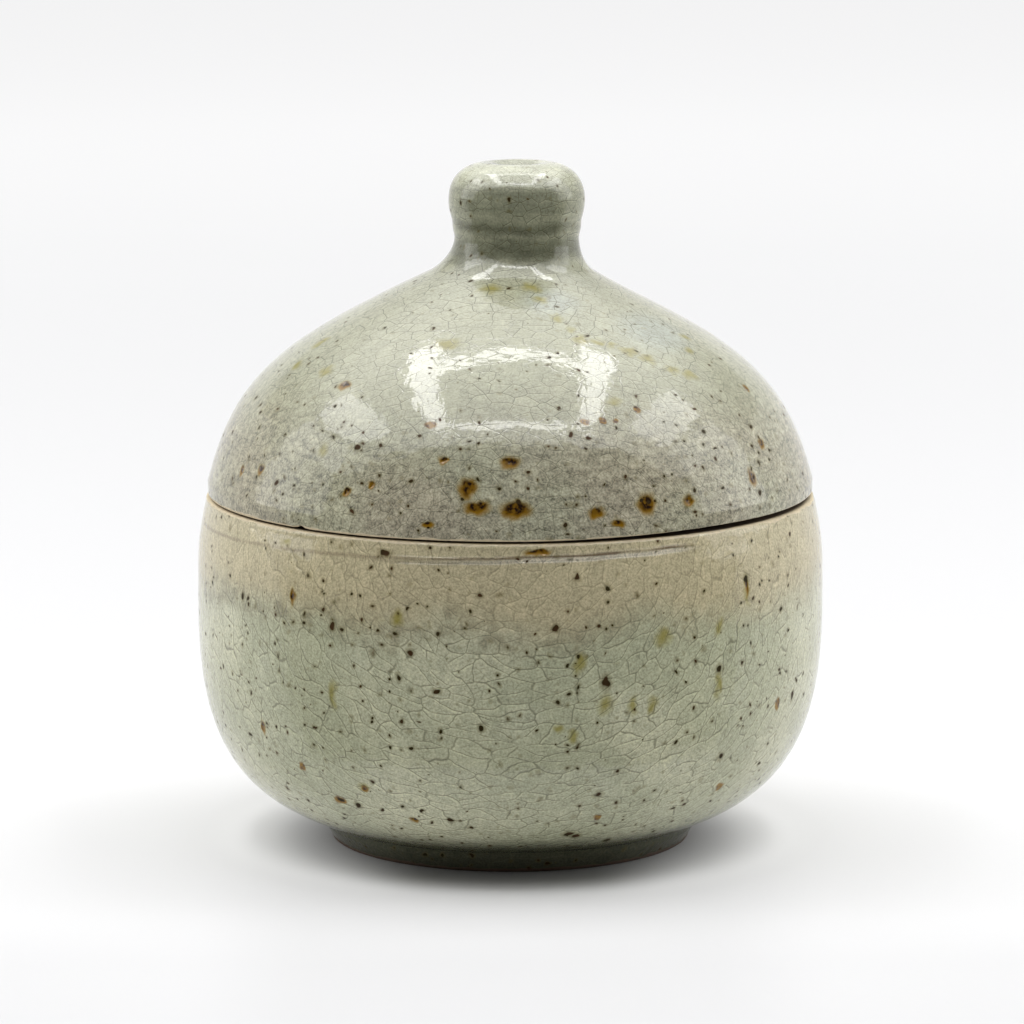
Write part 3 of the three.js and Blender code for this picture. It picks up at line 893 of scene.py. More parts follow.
class Glaze:
    """What the glazed pieces share: places on the surface in millimetres, crackle, iron and the shader."""

    def __init__(self, name, look):
        self.look = look
        self.material, self.graph = blank_material(name)
        graph = self.graph
        place = graph.wire("ShaderNodeTexCoord", {}, {}, "Object")
        self.point = graph.scaled(place, 1 / MM)
        self.x, _, self.z = graph.parts(self.point)
        self.flat = graph.vector("MULTIPLY", self.point, FLAT)
        self.radius = graph.span(self.flat)
        self.outside = self.painted(OUTSIDE)
        self.soft_height = self.z + self.wander(size=16, reach=10) + self.wander(size=3, reach=3)
        self.edge_height = self.z + self.wander(size=3, reach=0.9, detail=3.0)
        self.grain = graph.noise(self.point, look.grain_size / MM)

    def painted(self, name):
        """A value that the geometry trees stored on the surface."""
        return self.graph.wire("ShaderNodeAttribute", {"attribute_name": name}, {}, "Fac")

    def wander(self, size, reach, detail=1.0):
        """Slow ups and downs about zero."""
        return (self.graph.noise(self.point, size, detail) - 0.5) * reach

    def patches(self, size, low, high):
        """Patches that come in where a noise lies between two values."""
        return self.graph.smooth(self.graph.noise(self.point, size), low, high)

    def stretched(self, across, upright):
        """Places for marks that are drawn out: the smaller the share, the longer they are that way."""
        return self.graph.vector("MULTIPLY", self.point, (across, across, upright))

    def coated(self, base, *coats):
        """Lays coats of colour over a base in turn."""
        for coat in coats:
            base = self.graph.mix(coat.mask * coat.strength, base, paint(coat.colour))
        return base

    def spread(self, distance):
        """The surface laid flat about the axis, at the given distance from the middle."""
        return self.graph.scaled(self.graph.vector("NORMALIZE", self.flat), distance)

    def fan(self, height, stretch):
        """The wall laid flat in rings about a point over the mouth, and drawn out along them."""
        graph = self.graph
        slow = graph.vector("SUBTRACT", graph.noise(self.point, WALL_WANDER_SIZE, 1.0, "Color"), NOISE_MIDDLE)
        aside, down, _ = graph.parts(slow)
        across = graph.math("ARCSINE", self.x / self.radius) * WALL_RADIUS + aside * WALL_WANDER
        below = height - self.z - self.radius * WALL_LEAN + down * WALL_WANDER
        reach = graph.span(graph.wire("ShaderNodeCombineXYZ", {}, {0: across, 1: below}))
        along = graph.math("ARCTAN2", across, below) * (reach * RING_OPENING + RING_START)
        return graph.wire("ShaderNodeCombineXYZ", {}, {0: along / stretch, 1: reach})

    def net(self, place, size, feature="DISTANCE_TO_EDGE", output=0):
        """A flat net of cells of that size: by default, how far the nearest crack is as a share of it."""
        settings = {"feature": feature, "voronoi_dimensions": "2D"}
        return self.graph.wire("ShaderNodeTexVoronoi", settings, {"Vector": place, "Scale": 1 / size}, output)

    def crackle(self, place, down, size, strong, weak, depth, shadow):
        """A net of cracks with a finer, fainter one inside it, and a painted highlight as a pale lip below each
        crack.
        """
        graph = self.graph
        width = self.look.crack_width / MM
        noise = graph.noise(self.point, size * BEND_SIZE, 0.0, "Color")
        push = graph.scaled(graph.vector("SUBTRACT", noise, NOISE_MIDDLE), size * BEND_REACH)
        bent = graph.vector("ADD", place, push)
        upper = graph.vector("ADD", bent, [-step * width * HIGHLIGHT_LEAD for step in down])
        wide, above = self.net(bent, size) * size, self.net(upper, size) * size
        fine = self.net(bent, size * FINE_CELL) * (size * FINE_CELL)
        strong = self.patches(size * STRONG_PATCH, *STRONG_SHOWS) * strong
        weak = self.patches(size, *WEAK_SHOWS) * weak
        lines = graph.smooth(wide, width, width * LINE_CORE) * strong
        fine_lines = graph.smooth(fine, width * FINE_LINE, width * LINE_CORE) * weak
        self.lines = lines.most(fine_lines)
        # Painted highlight along the pale lip below each crack.
        self.crack_highlight = graph.smooth(above, width * HIGHLIGHT_WIDTH, width * HIGHLIGHT_CORE) * strong
        furrow = graph.smooth(wide, width * FURROW_WIDTH, 0.0) * strong
        furrow = furrow.most(graph.smooth(fine, width * FINE_FURROW_WIDTH, 0.0) * weak)
        self.furrow = furrow * (depth / MM)
        self.shadow = furrow * shadow
        chance, _, _ = graph.parts(self.net(bent, size, "F1", "Color"))
        self.cell_tone = (chance - 0.5) * CELL_TONE

    def iron(self, amber, iron_spots, moss, rust, section, gather):
        """Finds where iron shows: the listed blooms, and specks that are more where they gather."""
        graph = self.graph
        bent = graph.shift(self.point, RAGGED_SIZE, RAGGED_REACH)
        raised = graph.vector("ADD", bent, CORE_RISE)
        run = graph.shift(bent, MOSS_RAGGED_SIZE, MOSS_RAGGED_REACH)
        self.amber_share = bloom_distance(graph, bent, section, amber)
        self.amber_core = graph.smooth(bloom_distance(graph, raised, section, amber), *AMBER_CORE)
        self.amber = graph.smooth(self.amber_share, *AMBER_EDGE)
        self.rust = graph.smooth(bloom_distance(graph, bent, section, rust), *RUST_EDGE)
        self.moss = graph.smooth(bloom_distance(graph, run, section, moss), *MOSS_EDGE) * MOSS_SHARE
        iron_share = bloom_distance(graph, bent, section, iron_spots)
        small, small_stain = specks(graph, bent, *SMALL_SPECKS, gather)
        large, large_stain = specks(graph, bent, *LARGE_SPECKS, gather)
        self.dark = graph.smooth(iron_share, *IRON_EDGE).most(small).most(large)
        self.stain = small_stain.most(large_stain).most(graph.smooth(iron_share, *IRON_STAIN))

    def stained(self, base, mottle, grain, brush):
        """Adds grain, mottling, brushed streaks, crack stain and iron to a base colour."""
        graph, look = self.graph, self.look
        streaks = (graph.noise(self.stretched(across=1.0, upright=0.14), STREAK_SIZE) - 0.5) * STREAK_TONE
        brushed = (graph.noise(self.stretched(across=0.15, upright=1.0), BRUSH_SIZE) - 0.5) * brush
        grained = (self.grain - 0.5) * look.grain_depth * grain
        tone = 1 + grained + streaks + brushed + self.wander(BLOTCH_SIZE, mottle)
        tone = tone + self.cell_tone + self.crack_highlight * CRACK_HIGHLIGHT_TONE - self.shadow
        burnt = self.patches(size=0.7, low=0.35, high=0.6)
        rusty = self.patches(size=4.0, low=0.4, high=0.7)
        ember = self.coated(
            paint(look.amber),
            Coat(self.amber_core * (BURNT_LEAST + burnt * BURNT_PATCHES), look.burnt, 1.0),
        )
        scab = self.coated(paint(look.rust), Coat(burnt, look.amber, 1.0))
        speck = self.coated(paint(look.iron), Coat(rusty, look.rust, 0.5))
        base = self.coated(
            graph.wire("ShaderNodeHueSaturation", {}, {"Color": base, "Value": tone}),
            Coat(self.moss, look.moss, 1.0),
            Coat(self.stain, look.umber, 0.45),
            Coat(self.lines, look.crack, 1.0),
            Coat(graph.smooth(self.amber_share, *AMBER_HALO), look.moss, 0.3),
        )
        base = graph.mix(self.amber, base, ember)
        base = graph.mix(self.rust * RUST_SHARE, base, scab)
        return graph.mix(self.dark, base, speck)

    def finish(self, base, bare, clay, rings):
        """Puts bare clay where it shows, and shines the rest, duller where iron breaks through."""
        graph, look = self.graph, self.look
        sandy = SAND_DARK + graph.noise(self.point, SAND_SIZE, SAND_DETAIL) * SAND_RANGE
        earth = graph.wire("ShaderNodeHueSaturation", {}, {"Color": clay, "Value": sandy})
        base = graph.mix(bare, base, earth)
        polish = look.gloss + self.wander(POLISH_SIZE, POLISH_REACH) + self.lines * CRACK_ROUGHNESS
        roughness = polish * (1 - bare) + bare * CLAY_ROUGHNESS
        pebbles = graph.noise(self.point, PEBBLE_SIZE, PEBBLE_DETAIL) * (look.pebble_relief / MM)
        drawn_out = self.stretched(across=0.2, upright=1.0)
        ripples = graph.noise(drawn_out, RIPPLE_SIZE) * (look.ripple_relief / MM) * rings
        dimples = graph.noise(self.point, DIMPLE_SIZE) * (look.dimple_relief / MM)
        pits = graph.smooth(self.amber_share, *AMBER_PIT) * PIT_DEPTH
        relief = self.grain * (look.grain_relief / MM) + pebbles + ripples + dimples - self.furrow - pits
        relief = relief * (1 - bare) + self.grain * bare * CLAY_RELIEF
        bump = graph.wire("ShaderNodeBump", {}, {"Height": relief, "Distance": MM, "Strength": 1.0})
        shared = {"Base Color": base, "Normal": bump}
        bright = {"Roughness": roughness, "IOR": GLAZE_IOR}
        blunt = {"Roughness": DULL_ROUGHNESS, "Specular IOR Level": DULL_SHINE}
        glossy = graph.wire("ShaderNodeBsdfPrincipled", {}, shared | bright)
        matte = graph.wire("ShaderNodeBsdfPrincipled", {}, shared | blunt)
        dull = self.dark.most(self.rust * DULL_RUST).most(self.amber * DULL_AMBER) * DULL_SHARE
        shader = graph.wire("ShaderNodeMixShader", {}, {0: dull, 1: glossy, 2: matte})
        graph.node("ShaderNodeOutputMaterial", {}, {"Surface": shader})
        return self.material


# How far inside a piece's outer edge the dark clay of its seat starts and is full, in millimetres: bare clay
# darkened as painted shade in the gap between lid and rim.
SEAT_SHADE_INSET = (0.6, 1.4)


def seat_shade_radii(diameter):
    """Radii between which the dark seat clay, painted shade in the gap, comes in inside an edge of that
    diameter.
    """
    return [diameter / MM / 2 - depth for depth in SEAT_SHADE_INSET]


# The bowl's glaze, in millimetres: the heights between which a coat comes in, or its middle height and half
# width, or how far right of the axis it starts and is full, and shares of it where they have a name.
BAND_HEIGHTS = (38.5, 47.0)
CLOUD_HEIGHT, CLOUD_REACH = 42.0, 6.0
CLOUD_THINS, CLOUD_THINNED = (8.0, 22.0), 0.7
CLOUD_LEAST, CLOUD_PATCHES = 0.12, 0.5
POOL_AND_SHADE_HEIGHTS = (8.5, 3.4)
CREASE_SHADE_GROWS, CREASE_SHADE_LEAST, CREASE_SHADE_MORE = (-24.0, 12.0), 0.4, 0.45
LIP_HIGHLIGHT_GROWS = (-20.0, 10.0)
# Its crackle: how far over the rim the rings have their centre, how long the cells are drawn, and how strongly
# the cracks and the fine cracks show on the belly and how much less on the band.
RINGS_ABOVE_RIM, CELL_STRETCH = 30, 2.7
BELLY_CRACKS, BAND_LOSS = 0.6, 0.2
BELLY_FINE_CRACKS, BAND_FINE_LOSS = 0.28, 0.1
# How specks gather in the cloud, and how many fewer there are elsewhere.
CLOUD_GATHERS, FEWER_SPECKS = 0.45, 0.04
# Where its clay is bare: below the rim's top, above the table, and inside the foot ring.
RIM_BARE = (0.4, 0.2)
FOOT_BARE = (0.7, 0.5)
RECESS_RADII, RECESS_HEIGHTS = (26.0, 25.6), (4.0, 3.6)
FOOT_CLAY_HEIGHTS = (10.0, 9.0)


def bowl_glaze(look, bowl, section):
    """Grey-green belly, warm thin band under the rim with a smoky lower edge, olive pool at the foot."""
    glaze = Glaze("bowl celadon", look)
    graph, outside = glaze.graph, glaze.outside
    rim = bowl.rim_height / MM
    band = graph.smooth(glaze.soft_height, *BAND_HEIGHTS) * outside
    cloud = CLOUD_LEAST + glaze.patches(size=2.4, low=0.35, high=0.75) * CLOUD_PATCHES
    cloud = cloud * graph.bell(glaze.soft_height, CLOUD_HEIGHT, CLOUD_REACH) * outside
    cloud = cloud * (1 - graph.smooth(glaze.x, *CLOUD_THINS) * CLOUD_THINNED)
    well = glaze.spread(glaze.radius + glaze.z)
    laid = graph.mix(outside, well, glaze.fan(rim + RINGS_ABOVE_RIM, CELL_STRETCH))
    glaze.crackle(
        laid, (0.0, 1.0, 0.0), look.crack_size / MM,
        strong=BELLY_CRACKS - band * BAND_LOSS, weak=BELLY_FINE_CRACKS - band * BAND_FINE_LOSS,
        depth=look.crack_depth, shadow=0.0,
    )
    glaze.iron(BOWL_AMBER, BOWL_IRON, BOWL_MOSS, BOWL_RUST, section, cloud * CLOUD_GATHERS - FEWER_SPECKS)
    # Painted shade in the crease below the rim, darker towards the right.
    crease = glaze.painted(DIP_LINE) * glaze.patches(size=6, low=0.15, high=0.5)
    crease = crease * (CREASE_SHADE_LEAST + graph.smooth(glaze.x, *CREASE_SHADE_GROWS) * CREASE_SHADE_MORE)
    base = glaze.coated(
        paint(look.celadon),
        Coat(glaze.patches(size=20, low=0.35, high=0.65), look.celadon_deep, 1.0),
        Coat(glaze.patches(size=9, low=0.5, high=0.75), look.pale, 0.3),
        Coat(band, look.beige, 0.9),
        Coat(cloud, look.smoke, 1.0),
        # Darker towards the foot: glaze pooled there, with painted shade under the belly.
        Coat(graph.smooth(glaze.z, *POOL_AND_SHADE_HEIGHTS) * outside, look.olive_pool_and_shade, 0.9),
        Coat(crease, look.toasted_clay_and_shade, 1.0),
        # Painted highlight on the lip below the crease, growing towards the right.
        Coat(glaze.painted(DIP_LIP) * graph.smooth(glaze.x, *LIP_HIGHLIGHT_GROWS), look.lip, 0.85),
    )
    base = glaze.stained(base, mottle=0.3, grain=0.88, brush=0.0)
    at_rim = graph.smooth(rim - glaze.edge_height, *RIM_BARE)
    at_foot = graph.smooth(glaze.edge_height, *FOOT_BARE)
    in_recess = graph.smooth(glaze.radius, *RECESS_RADII) * graph.smooth(glaze.z, *RECESS_HEIGHTS)
    # Painted shade: the top of the rim inside its outer edge is darkened where the gap under the lid lies.
    rim_seat_shade = graph.smooth(glaze.radius, *seat_shade_radii(bowl.rim_diameter))
    toasted_clay_and_shade = graph.smooth(glaze.z, *FOOT_CLAY_HEIGHTS).most(rim_seat_shade)
    clay = glaze.coated(paint(look.clay), Coat(toasted_clay_and_shade, look.toasted_clay_and_shade, 1.0))
    return glaze.finish(base, at_rim.most(at_foot).most(in_recess), clay, rings=1.0)


# The lid's glaze, as for the bowl, with heights above its seat. Levels are heights that hardly wander.
CROWN_HEIGHTS = (8, 22)
KNOB_HEIGHTS, KNOB_SHARE, KNOB_STREAK_SIZE = (36, 41), 0.95, 0.6
LEFT_WARMS = (-20.0, -40.0)
HAZE_EDGE = (1.3, 0.3)
WAIST_SHADE_LEVEL, WAIST_SHADE_REACH = 39.4, 2.6
# Painted highlights on the knob's pale rings, and painted shade in the groove between them.
HIGHLIGHT_RING_LEVEL, HIGHLIGHT_RING_REACH = 44.8, 1.3
LOW_HIGHLIGHT_RING_LEVEL, LOW_HIGHLIGHT_RING_REACH = 41.7, 0.9
GROOVE_SHADE_LEVEL, GROOVE_SHADE_REACH = 43.1, 1.1
KNOB_TOP_LEVELS = (48.0, 51.5)
KNOB_SIDE_SHEEN = (6.5, 9.5)
DIMPLE_RADII, DIMPLE_LEVELS = (5.4, 3.8), (47.0, 48.0)
LID_BARE = (0.5, 0.3)
# Its crackle: laid flat from a point over the crown, squeezed towards the viewer, and wrapped round the knob.
CROWN_ABOVE_SEAT, CROWN_SPREAD = 36, 0.75
DOME_STRETCH = (1.0, 1.6, 1.0)
WRAP_HEIGHTS, WRAP_RADIUS, WRAP_RISE, AXIS_GAP = (37.8, 38.0), 16, 1.8, 0.01
DOME_CRACKS, CROWN_GAIN, KNOB_LOSS = 0.55, 0.3, 0.1
FINE_CRACK_SHARE, FURROW_SHARE, FURROW_SHADOW = 0.5, 0.15, 0.24
# How many more specks the lower dome has, and how many fewer the crown.
DOME_GATHERS, CROWN_LOSS = 0.02, 0.12
# How mottled, grained and brushed the lower dome is, how much less the crown is, and how much more the knob.
DOME_MOTTLE, MOTTLE_LOSS = 1.15, 0.85
DOME_GRAIN, GRAIN_LOSS = 1.4, 0.7
DOME_BRUSH, BRUSH_LOSS, KNOB_BRUSH = 0.75, 0.65, 0.4
# How many times the bowl's rings show in the shine of the lower dome, and how much less on the crown.
DOME_RINGS, CROWN_RING_LOSS = 5, 4


def lid_glaze(look, lid, section):
    """Rosy grey lower dome, milky green crown, darker knob."""
    glaze = Glaze("lid celadon", look)
    graph, outside = glaze.graph, glaze.outside
    seat = lid.seat_height / MM
    level = glaze.edge_height - seat + glaze.wander(size=7, reach=2)
    knob = graph.smooth(glaze.soft_height - seat, *KNOB_HEIGHTS) * outside
    crown = graph.smooth(glaze.soft_height - seat, *CROWN_HEIGHTS)
    laid = glaze.spread((glaze.radius - glaze.z + seat + CROWN_ABOVE_SEAT) * CROWN_SPREAD)
    laid = graph.vector("MULTIPLY", laid, DOME_STRETCH)
    along = graph.math("ARCSINE", glaze.x / (glaze.radius + AXIS_GAP)) * WRAP_RADIUS
    wrapped = {0: along, 1: (glaze.z - glaze.radius) * WRAP_RISE}
    wrap = graph.wire("ShaderNodeCombineXYZ", {}, wrapped)
    laid = graph.mix(graph.smooth(glaze.z - seat, *WRAP_HEIGHTS), laid, wrap)
    strong = DOME_CRACKS + crown * CROWN_GAIN - knob * KNOB_LOSS
    glaze.crackle(
        laid, (0.0, -1.0, 0.0), look.lid_crack_size / MM,
        strong=strong, weak=strong * FINE_CRACK_SHARE,
        depth=look.crack_depth * FURROW_SHARE, shadow=FURROW_SHADOW,
    )
    glaze.iron(LID_AMBER, LID_IRON, LID_MOSS, LID_RUST, section, DOME_GATHERS - crown * CROWN_LOSS)
    haze = graph.smooth(bloom_distance(graph, glaze.point, section, LID_HAZE), *HAZE_EDGE)
    base = glaze.coated(
        paint(look.grey),
        Coat(glaze.patches(size=19, low=0.35, high=0.65), look.milk, 0.6),
        Coat(crown, look.milk, 0.85),
        Coat(graph.smooth(glaze.x, *LEFT_WARMS) * (1 - crown), look.umber, 0.13),
        Coat(haze, look.haze, 0.45),
    )
    # Painted highlights: pale rings where the knob's ridges catch the light.
    rings = graph.bell(level, HIGHLIGHT_RING_LEVEL, HIGHLIGHT_RING_REACH).most(graph.bell(level, LOW_HIGHLIGHT_RING_LEVEL, LOW_HIGHLIGHT_RING_REACH))
    # Painted sheen: the knob grows paler towards its sides, where side light and reflection brighten it.
    sides = graph.smooth(graph.math("ABSOLUTE", glaze.x), *KNOB_SIDE_SHEEN)
    dimple = graph.smooth(glaze.radius, *DIMPLE_RADII) * graph.smooth(level, *DIMPLE_LEVELS)
    streaks = graph.noise(glaze.stretched(across=0.2, upright=1.0), KNOB_STREAK_SIZE)
    shade = glaze.coated(
        paint(look.knob),
        Coat(streaks, look.celadon_deep, 0.35),
        Coat(graph.smooth(level, *KNOB_TOP_LEVELS), look.pale, 0.8),
        Coat(rings, look.milk, 0.45),
        # Painted shade in the groove between the rings.
        Coat(graph.bell(level, GROOVE_SHADE_LEVEL, GROOVE_SHADE_REACH), look.olive_pool_and_shade, 0.53),
        Coat(sides, look.milk, 0.5),
        Coat(dimple, look.knob, 0.6),
    )
    base = graph.mix(knob * KNOB_SHARE, base, shade)
    # Painted shade round the waist under the knob, over the glaze pooled there.
    waist = graph.bell(level, WAIST_SHADE_LEVEL, WAIST_SHADE_REACH) * outside
    base = glaze.coated(base, Coat(waist, look.waist, 0.9))
    base = glaze.stained(
        base, mottle=DOME_MOTTLE - crown * MOTTLE_LOSS, grain=DOME_GRAIN - crown * GRAIN_LOSS,
        brush=DOME_BRUSH - crown * BRUSH_LOSS + knob * KNOB_BRUSH,
    )
    bare = graph.smooth(glaze.edge_height - seat, *LID_BARE)
    # Painted shade: the lid's seat is darkened inside its edge, where the gap over the rim lies.
    toasted_clay_and_shade = graph.smooth(glaze.radius, *seat_shade_radii(lid.edge_diameter))
    clay = glaze.coated(paint(look.clay), Coat(toasted_clay_and_shade, look.toasted_clay_and_shade, 1.0))
    return glaze.finish(base, bare, clay, rings=DOME_RINGS - crown * CROWN_RING_LOSS)


class BuildOperator:
    """What the piece operators share."""

    bl_options = {"REGISTER", "UNDO"}

    def place(self, piece, node):
        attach(piece, node)
        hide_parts(node)


class TRINKET_OT_bowl(BuildOperator, bpy.types.Operator):
    """Throw and glaze the bowl"""

    bl_idname = "trinket.bowl"
    bl_label = "Bowl"

    def execute(self, context):
        scene = context.scene
        section = bowl_section(scene.trinket_bowl)
        glaze = bowl_glaze(scene.trinket_glaze, scene.trinket_bowl, section)
        marks = scene.trinket_marks
        piece = section_object("thrown_bowl", section)
        add_tree(piece, thrown_form_tree(), thrown_values(section, marks, BOWL_SEED, glaze))
        dip = {
            "Rim Height": scene.trinket_bowl.rim_height,
            "Drop": marks.dip_drop,
            "Tilt": marks.dip_tilt,
            "Width": marks.dip_width,
            "Depth": marks.dip_depth,
            "Glaze": glaze,
        }
        add_tree(piece, dip_line_tree(), dip)
        settle(piece)
        self.place(piece, "bowl")
        return {"FINISHED"}


class TRINKET_OT_lid(BuildOperator, bpy.types.Operator):
    """Throw and glaze the lid with its knob"""

    bl_idname = "trinket.lid"
    bl_label = "Lid"

    def execute(self, context):
        scene = context.scene
        lid = scene.trinket_lid
        section = lid_section(lid)
        glaze = lid_glaze(scene.trinket_glaze, lid, section)
        piece = section_object("thrown_lid", section)
        add_tree(piece, thrown_form_tree(), thrown_values(section, scene.trinket_marks, LID_SEED, glaze))
        settling = {
            "Seat": lid.seat_height,
            "Crown": lid.crown_height,
            "Neck": lid.neck_height,
            "Knob Offset": lid.knob_offset,
            "Ridge": lid.ridge_height,
            "Ridge Depth": lid.ridge_depth,
            "Ridge Width": lid.ridge_width,
            "Edge Lift": lid.edge_lift,
            "Chip": lid.chip_depth,
            "Glaze": glaze,
        }
        add_tree(piece, lid_settling_tree(), settling)
        settle(piece)
        self.place(piece, "lid")
        return {"FINISHED"}


# How far in front of its light a panel's gleam stands, as a share of the way to what it faces.
GLEAM_LEAD = 0.01


def area_light(name, place, aim, size, light=0.0, gleam=0.0, turn=0.0):
    """A panel facing the aim. How it lights the scene and how it gleams in the glaze are set apart."""
    place, aim = Vector(place), Vector(aim)
    width, height = size
    for radiance, gleams in ((light, False), (gleam, True)):
        if not radiance:
            continue
        data = bpy.data.lights.new(name, "AREA")
        data.shape = "RECTANGLE"
        data.size = width
        data.size_y = height
        data.energy = radiance * math.pi * width * height
        lamp = bpy.data.objects.new(name, data)
        lamp.location = place.lerp(aim, GLEAM_LEAD if gleams else 0)
        facing = (aim - place).to_track_quat("-Z", "Y")
        lamp.rotation_euler = (facing @ Quaternion((0, 0, 1), turn)).to_euler()
        lamp.visible_glossy = gleams
        lamp.visible_diffuse = not gleams
        bpy.context.scene.collection.objects.link(lamp)


def floor_under(place):
    """The floor under a place."""
    return (place[0], place[1], 0)


BLACK = (0, 0, 0, 1)
WHITE = (1, 1, 1, 1)

# Places on the right, what they face and sizes of the panels on both sides, in metres: a lamp, the patch that
# it makes in the glaze, a white wall and the cloth that the glaze shows there.
SIDE_PANEL, PANEL_AIM, PANEL_SIZE = (0.62, 0.14, 0.76), (0, 0, 0.07), (0.55, 0.42)
SIDE_PATCH, PATCH_SIZE = (0.6, 0.04), (0.3, 0.46)
SIDE_WALL, WALL_AIM, WALL_SIZE = (0.7, 0.05, 0.26), (0, 0.05, 0.03), (0.9, 0.5)
SIDE_CLOTH, CLOTH_AIM, CLOTH_SIZE = (0.72, 0.03, 0.36), (0, 0.03, 0.36), (0.44, 0.48)

# The ceiling, in metres: half its width, its front and back, its height over the frame of lights, and where it
# is dimmer to the sides and to the back, and by how much.
CEILING_HALF, CEILING_FRONT, CEILING_BACK, CEILING_RISE = 1.3, -0.43, 1.6, 0.02
CEILING_SIDES, CEILING_SIDE_LOSS = (0.3, 0.8), 0.55
CEILING_DEPTHS, CEILING_BACK_LOSS = (0.2, 1.0), 0.65

# Where the white surroundings begin behind the bowl and overhead, as parts of a direction of length 1.
WHITE_BEHIND = (-0.06, 0.1)
WHITE_OVERHEAD = (0.66, 0.74)

FLOOR_RADIUS = 9.0
FLOOR_SIDES = 96
FLOOR_ROUGHNESS = 0.7
# Where light from the tent reaches the floor, in metres from the axis, towards the back, or to either side.
FAR_RADII, FAR_DEPTHS = (0.15, 1.2), (-0.4, -0.1)
FOOT_SHADE = (0.034, 0.046)
FRONT_DEPTHS, FRONT_LOSS = (-0.055, -0.09), 0.3
BELLY_RADIUS, BELLY_REACH, BELLY_SIDES = 0.037, 0.014, (0.012, 0.03)
BESIDE_SIDES, BESIDE_RADII, BESIDE_SHARE = (0.028, 0.05), (0.2, 0.06), 0.5

SENSOR_WIDTH = 36


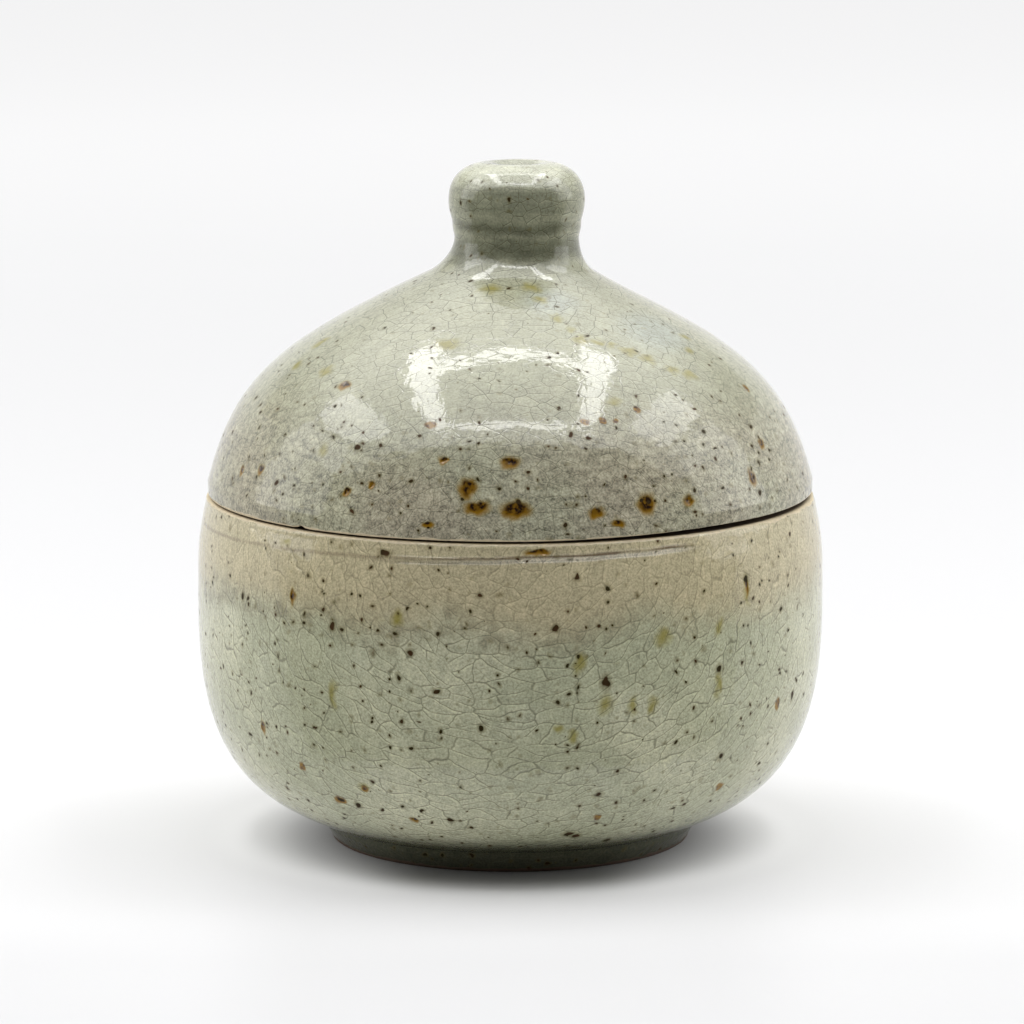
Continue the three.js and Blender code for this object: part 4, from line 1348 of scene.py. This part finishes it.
class TRINKET_OT_studio(bpy.types.Operator):
    """Set up the floor, the lights and the camera"""

    bl_idname = "trinket.studio"
    bl_label = "Studio"
    bl_options = {"REGISTER", "UNDO"}

    def execute(self, context):
        studio = context.scene.trinket_studio
        self.floor(studio)
        self.surroundings(studio)
        self.lights(studio)
        self.ceiling(studio)
        self.camera(studio)
        context.scene.view_settings.view_transform = "Standard"
        return {"FINISHED"}

    def backdrop(self, name, material, points, faces):
        """Puts a plain mesh of that material into the scene."""
        mesh = bpy.data.meshes.new(name)
        mesh.from_pydata(points, [], faces)
        mesh.materials.append(material)
        made = bpy.data.objects.new(name, mesh)
        bpy.context.scene.collection.objects.link(made)
        return made

    def glow(self, graph, base, share, strength):
        """A shader without shine that gives light, as much of the strength as the share says."""
        sockets = {
            "Base Color": base,
            "Roughness": FLOOR_ROUGHNESS,
            "Specular IOR Level": 0.0,
            "Emission Color": graph.mix(share, BLACK, WHITE),
            "Emission Strength": strength,
        }
        shader = graph.wire("ShaderNodeBsdfPrincipled", {}, sockets)
        graph.node("ShaderNodeOutputMaterial", {}, {"Surface": shader})

    def floor(self, studio):
        """A wide floor, and the round of it near the bowl, which alone shows in the glaze."""
        material = self.floor_material(studio)
        ring = range(FLOOR_SIDES)
        round_axis = [handle(1.0, math.tau * count / FLOOR_SIDES).to_3d() for count in ring]
        near, far = ([place * radius for place in round_axis] for radius in (studio.near_floor, FLOOR_RADIUS))
        after = [(count + 1) % FLOOR_SIDES for count in ring]
        quads = [(here, here + FLOOR_SIDES, then + FLOOR_SIDES, then) for here, then in zip(ring, after)]
        discs = (("floor near the bowl", near, [tuple(ring)], True), ("floor", near + far, quads, False))
        for name, points, faces, shows in discs:
            floor = self.backdrop(name, material, points, faces)
            floor.visible_glossy = shows

    def floor_material(self, studio):
        material, graph = blank_material("pale floor")
        place = graph.wire("ShaderNodeTexCoord", {}, {}, "Object")
        across, depth, _ = graph.parts(place)
        across = graph.math("ABSOLUTE", across)
        radius = graph.span(place)
        far = graph.smooth(radius, *FAR_RADII) * graph.smooth(depth, *FAR_DEPTHS) * studio.back_glow
        in_front = graph.smooth(depth, *FRONT_DEPTHS)
        near = graph.smooth(radius, *FOOT_SHADE) * studio.near_glow * (1 - in_front * FRONT_LOSS)
        under = graph.bell(radius, BELLY_RADIUS, BELLY_REACH) * graph.smooth(across, *BELLY_SIDES)
        beside = graph.smooth(across, *BESIDE_SIDES) * graph.smooth(radius, *BESIDE_RADII) * BESIDE_SHARE
        self.glow(graph, paint(studio.floor), far + near + (under + beside) * studio.side_glow, 1.0)
        return material

    def surroundings(self, studio):
        world = bpy.data.worlds.new("light tent")
        world.use_nodes = True
        world.node_tree.nodes.clear()
        graph = Graph(world.node_tree)
        way = graph.wire("ShaderNodeTexCoord", {}, {}, "Generated")
        _, depth, up = graph.parts(way)
        back = graph.smooth(depth, *WHITE_BEHIND) * (studio.back_light - studio.front_light)
        overhead = graph.smooth(up, *WHITE_OVERHEAD) * (studio.ceiling_light - studio.front_light)
        light = graph.mix(studio.front_light + back.most(overhead), BLACK, WHITE)
        background = graph.wire("ShaderNodeBackground", {}, {"Color": light, "Strength": 1.0})
        graph.node("ShaderNodeOutputWorld", {}, {"Surface": background})
        bpy.context.scene.world = world

    def lights(self, studio):
        """An overhead frame of four strips, wide at the sides, and panels and white walls on both sides."""
        top, power, gleam = studio.ring_height, studio.ring_power, studio.ring_gleam
        for side in (-1, 1):
            to_side = Vector((side, 1, 1))
            strip = (side * studio.side_strip, 0, top)
            size = (studio.side_strip_width, studio.side_strip_length)
            boosted, splay = power * studio.side_strip_boost, studio.side_strip_splay * side
            area_light("side strip", strip, floor_under(strip), size, boosted, gleam, splay)
            area_light("side panel", to_side * Vector(SIDE_PANEL), PANEL_AIM, PANEL_SIZE, studio.side_power)
            patch = (side * SIDE_PATCH[0], SIDE_PATCH[1], top)
            area_light("side patch", patch, floor_under(patch), PATCH_SIZE, gleam=studio.side_gleam)
            area_light("side wall", to_side * Vector(SIDE_WALL), WALL_AIM, WALL_SIZE, studio.wall_power)
            cloth = to_side * Vector(SIDE_CLOTH)
            area_light("side cloth", cloth, CLOTH_AIM, CLOTH_SIZE, gleam=studio.wall_gleam)
        front = (0, -studio.front_strip, top)
        size = (studio.cross_strip_length, studio.front_strip_width)
        area_light("front strip", front, floor_under(front), size, power, gleam)
        back = (0, studio.back_strip, top)
        size = (studio.cross_strip_length, studio.back_strip_width)
        area_light("back strip", back, floor_under(back), size, power * studio.back_strip_boost, gleam)

    def ceiling(self, studio):
        """The white ceiling, which shows in the glaze but neither lights the scene nor is seen itself."""
        height = studio.ring_height + CEILING_RISE
        places = ((-1, CEILING_FRONT), (-1, CEILING_BACK), (1, CEILING_BACK), (1, CEILING_FRONT))
        points = [(side * CEILING_HALF, depth, height) for side, depth in places]
        material, graph = blank_material("ceiling")
        across, depth, _ = graph.parts(graph.wire("ShaderNodeTexCoord", {}, {}, "Object"))
        across = graph.math("ABSOLUTE", across)
        share = 1 - graph.smooth(across, *CEILING_SIDES) * CEILING_SIDE_LOSS
        share = share * (1 - graph.smooth(depth, *CEILING_DEPTHS) * CEILING_BACK_LOSS)
        self.glow(graph, BLACK, share, studio.ceiling_gleam)
        ceiling = self.backdrop("ceiling", material, points, [tuple(range(len(points)))])
        ceiling.visible_camera = False
        ceiling.visible_diffuse = False
        ceiling.visible_shadow = False

    def camera(self, studio):
        data = bpy.data.cameras.new("camera")
        data.lens = studio.lens
        data.sensor_width = SENSOR_WIDTH
        camera = bpy.data.objects.new("camera", data)
        camera.location = (studio.camera_side, -studio.camera_back, studio.camera_height)
        camera.rotation_euler = (math.pi / 2 - studio.camera_pitch, 0, 0)
        bpy.context.scene.collection.objects.link(camera)
        bpy.context.scene.camera = camera


class TRINKET_PT_panel(bpy.types.Panel):
    """The bowl's sizes, colours and pieces"""

    bl_idname = "TRINKET_PT_panel"
    bl_label = "Trinket Bowl"
    bl_space_type = "VIEW_3D"
    bl_region_type = "UI"
    bl_category = "Trinket Bowl"

    def draw(self, context):
        for operator in OPERATORS:
            self.layout.operator(operator.bl_idname)
        for name, group in GROUPS.items():
            column = self.layout.column(align=True)
            column.label(text=group.__name__)
            for setting in group.__annotations__:
                column.prop(getattr(context.scene, name), setting)


GROUPS = {
    "trinket_bowl": BowlSizes,
    "trinket_lid": LidSizes,
    "trinket_marks": ClayMarks,
    "trinket_glaze": GlazeLook,
    "trinket_studio": StudioLook,
}
OPERATORS = (TRINKET_OT_bowl, TRINKET_OT_lid, TRINKET_OT_studio)


def register():
    for made in (*GROUPS.values(), *OPERATORS, TRINKET_PT_panel):
        bpy.utils.register_class(made)
    for name, group in GROUPS.items():
        setattr(bpy.types.Scene, name, PointerProperty(type=group))


def unregister():
    for name in GROUPS:
        delattr(bpy.types.Scene, name)
    for made in (TRINKET_PT_panel, *reversed(OPERATORS), *reversed(GROUPS.values())):
        bpy.utils.unregister_class(made)


def main():
    register()
    bpy.ops.trinket.studio()
    bpy.ops.trinket.bowl()
    bpy.ops.trinket.lid()


if __name__ == "__main__":
    main()
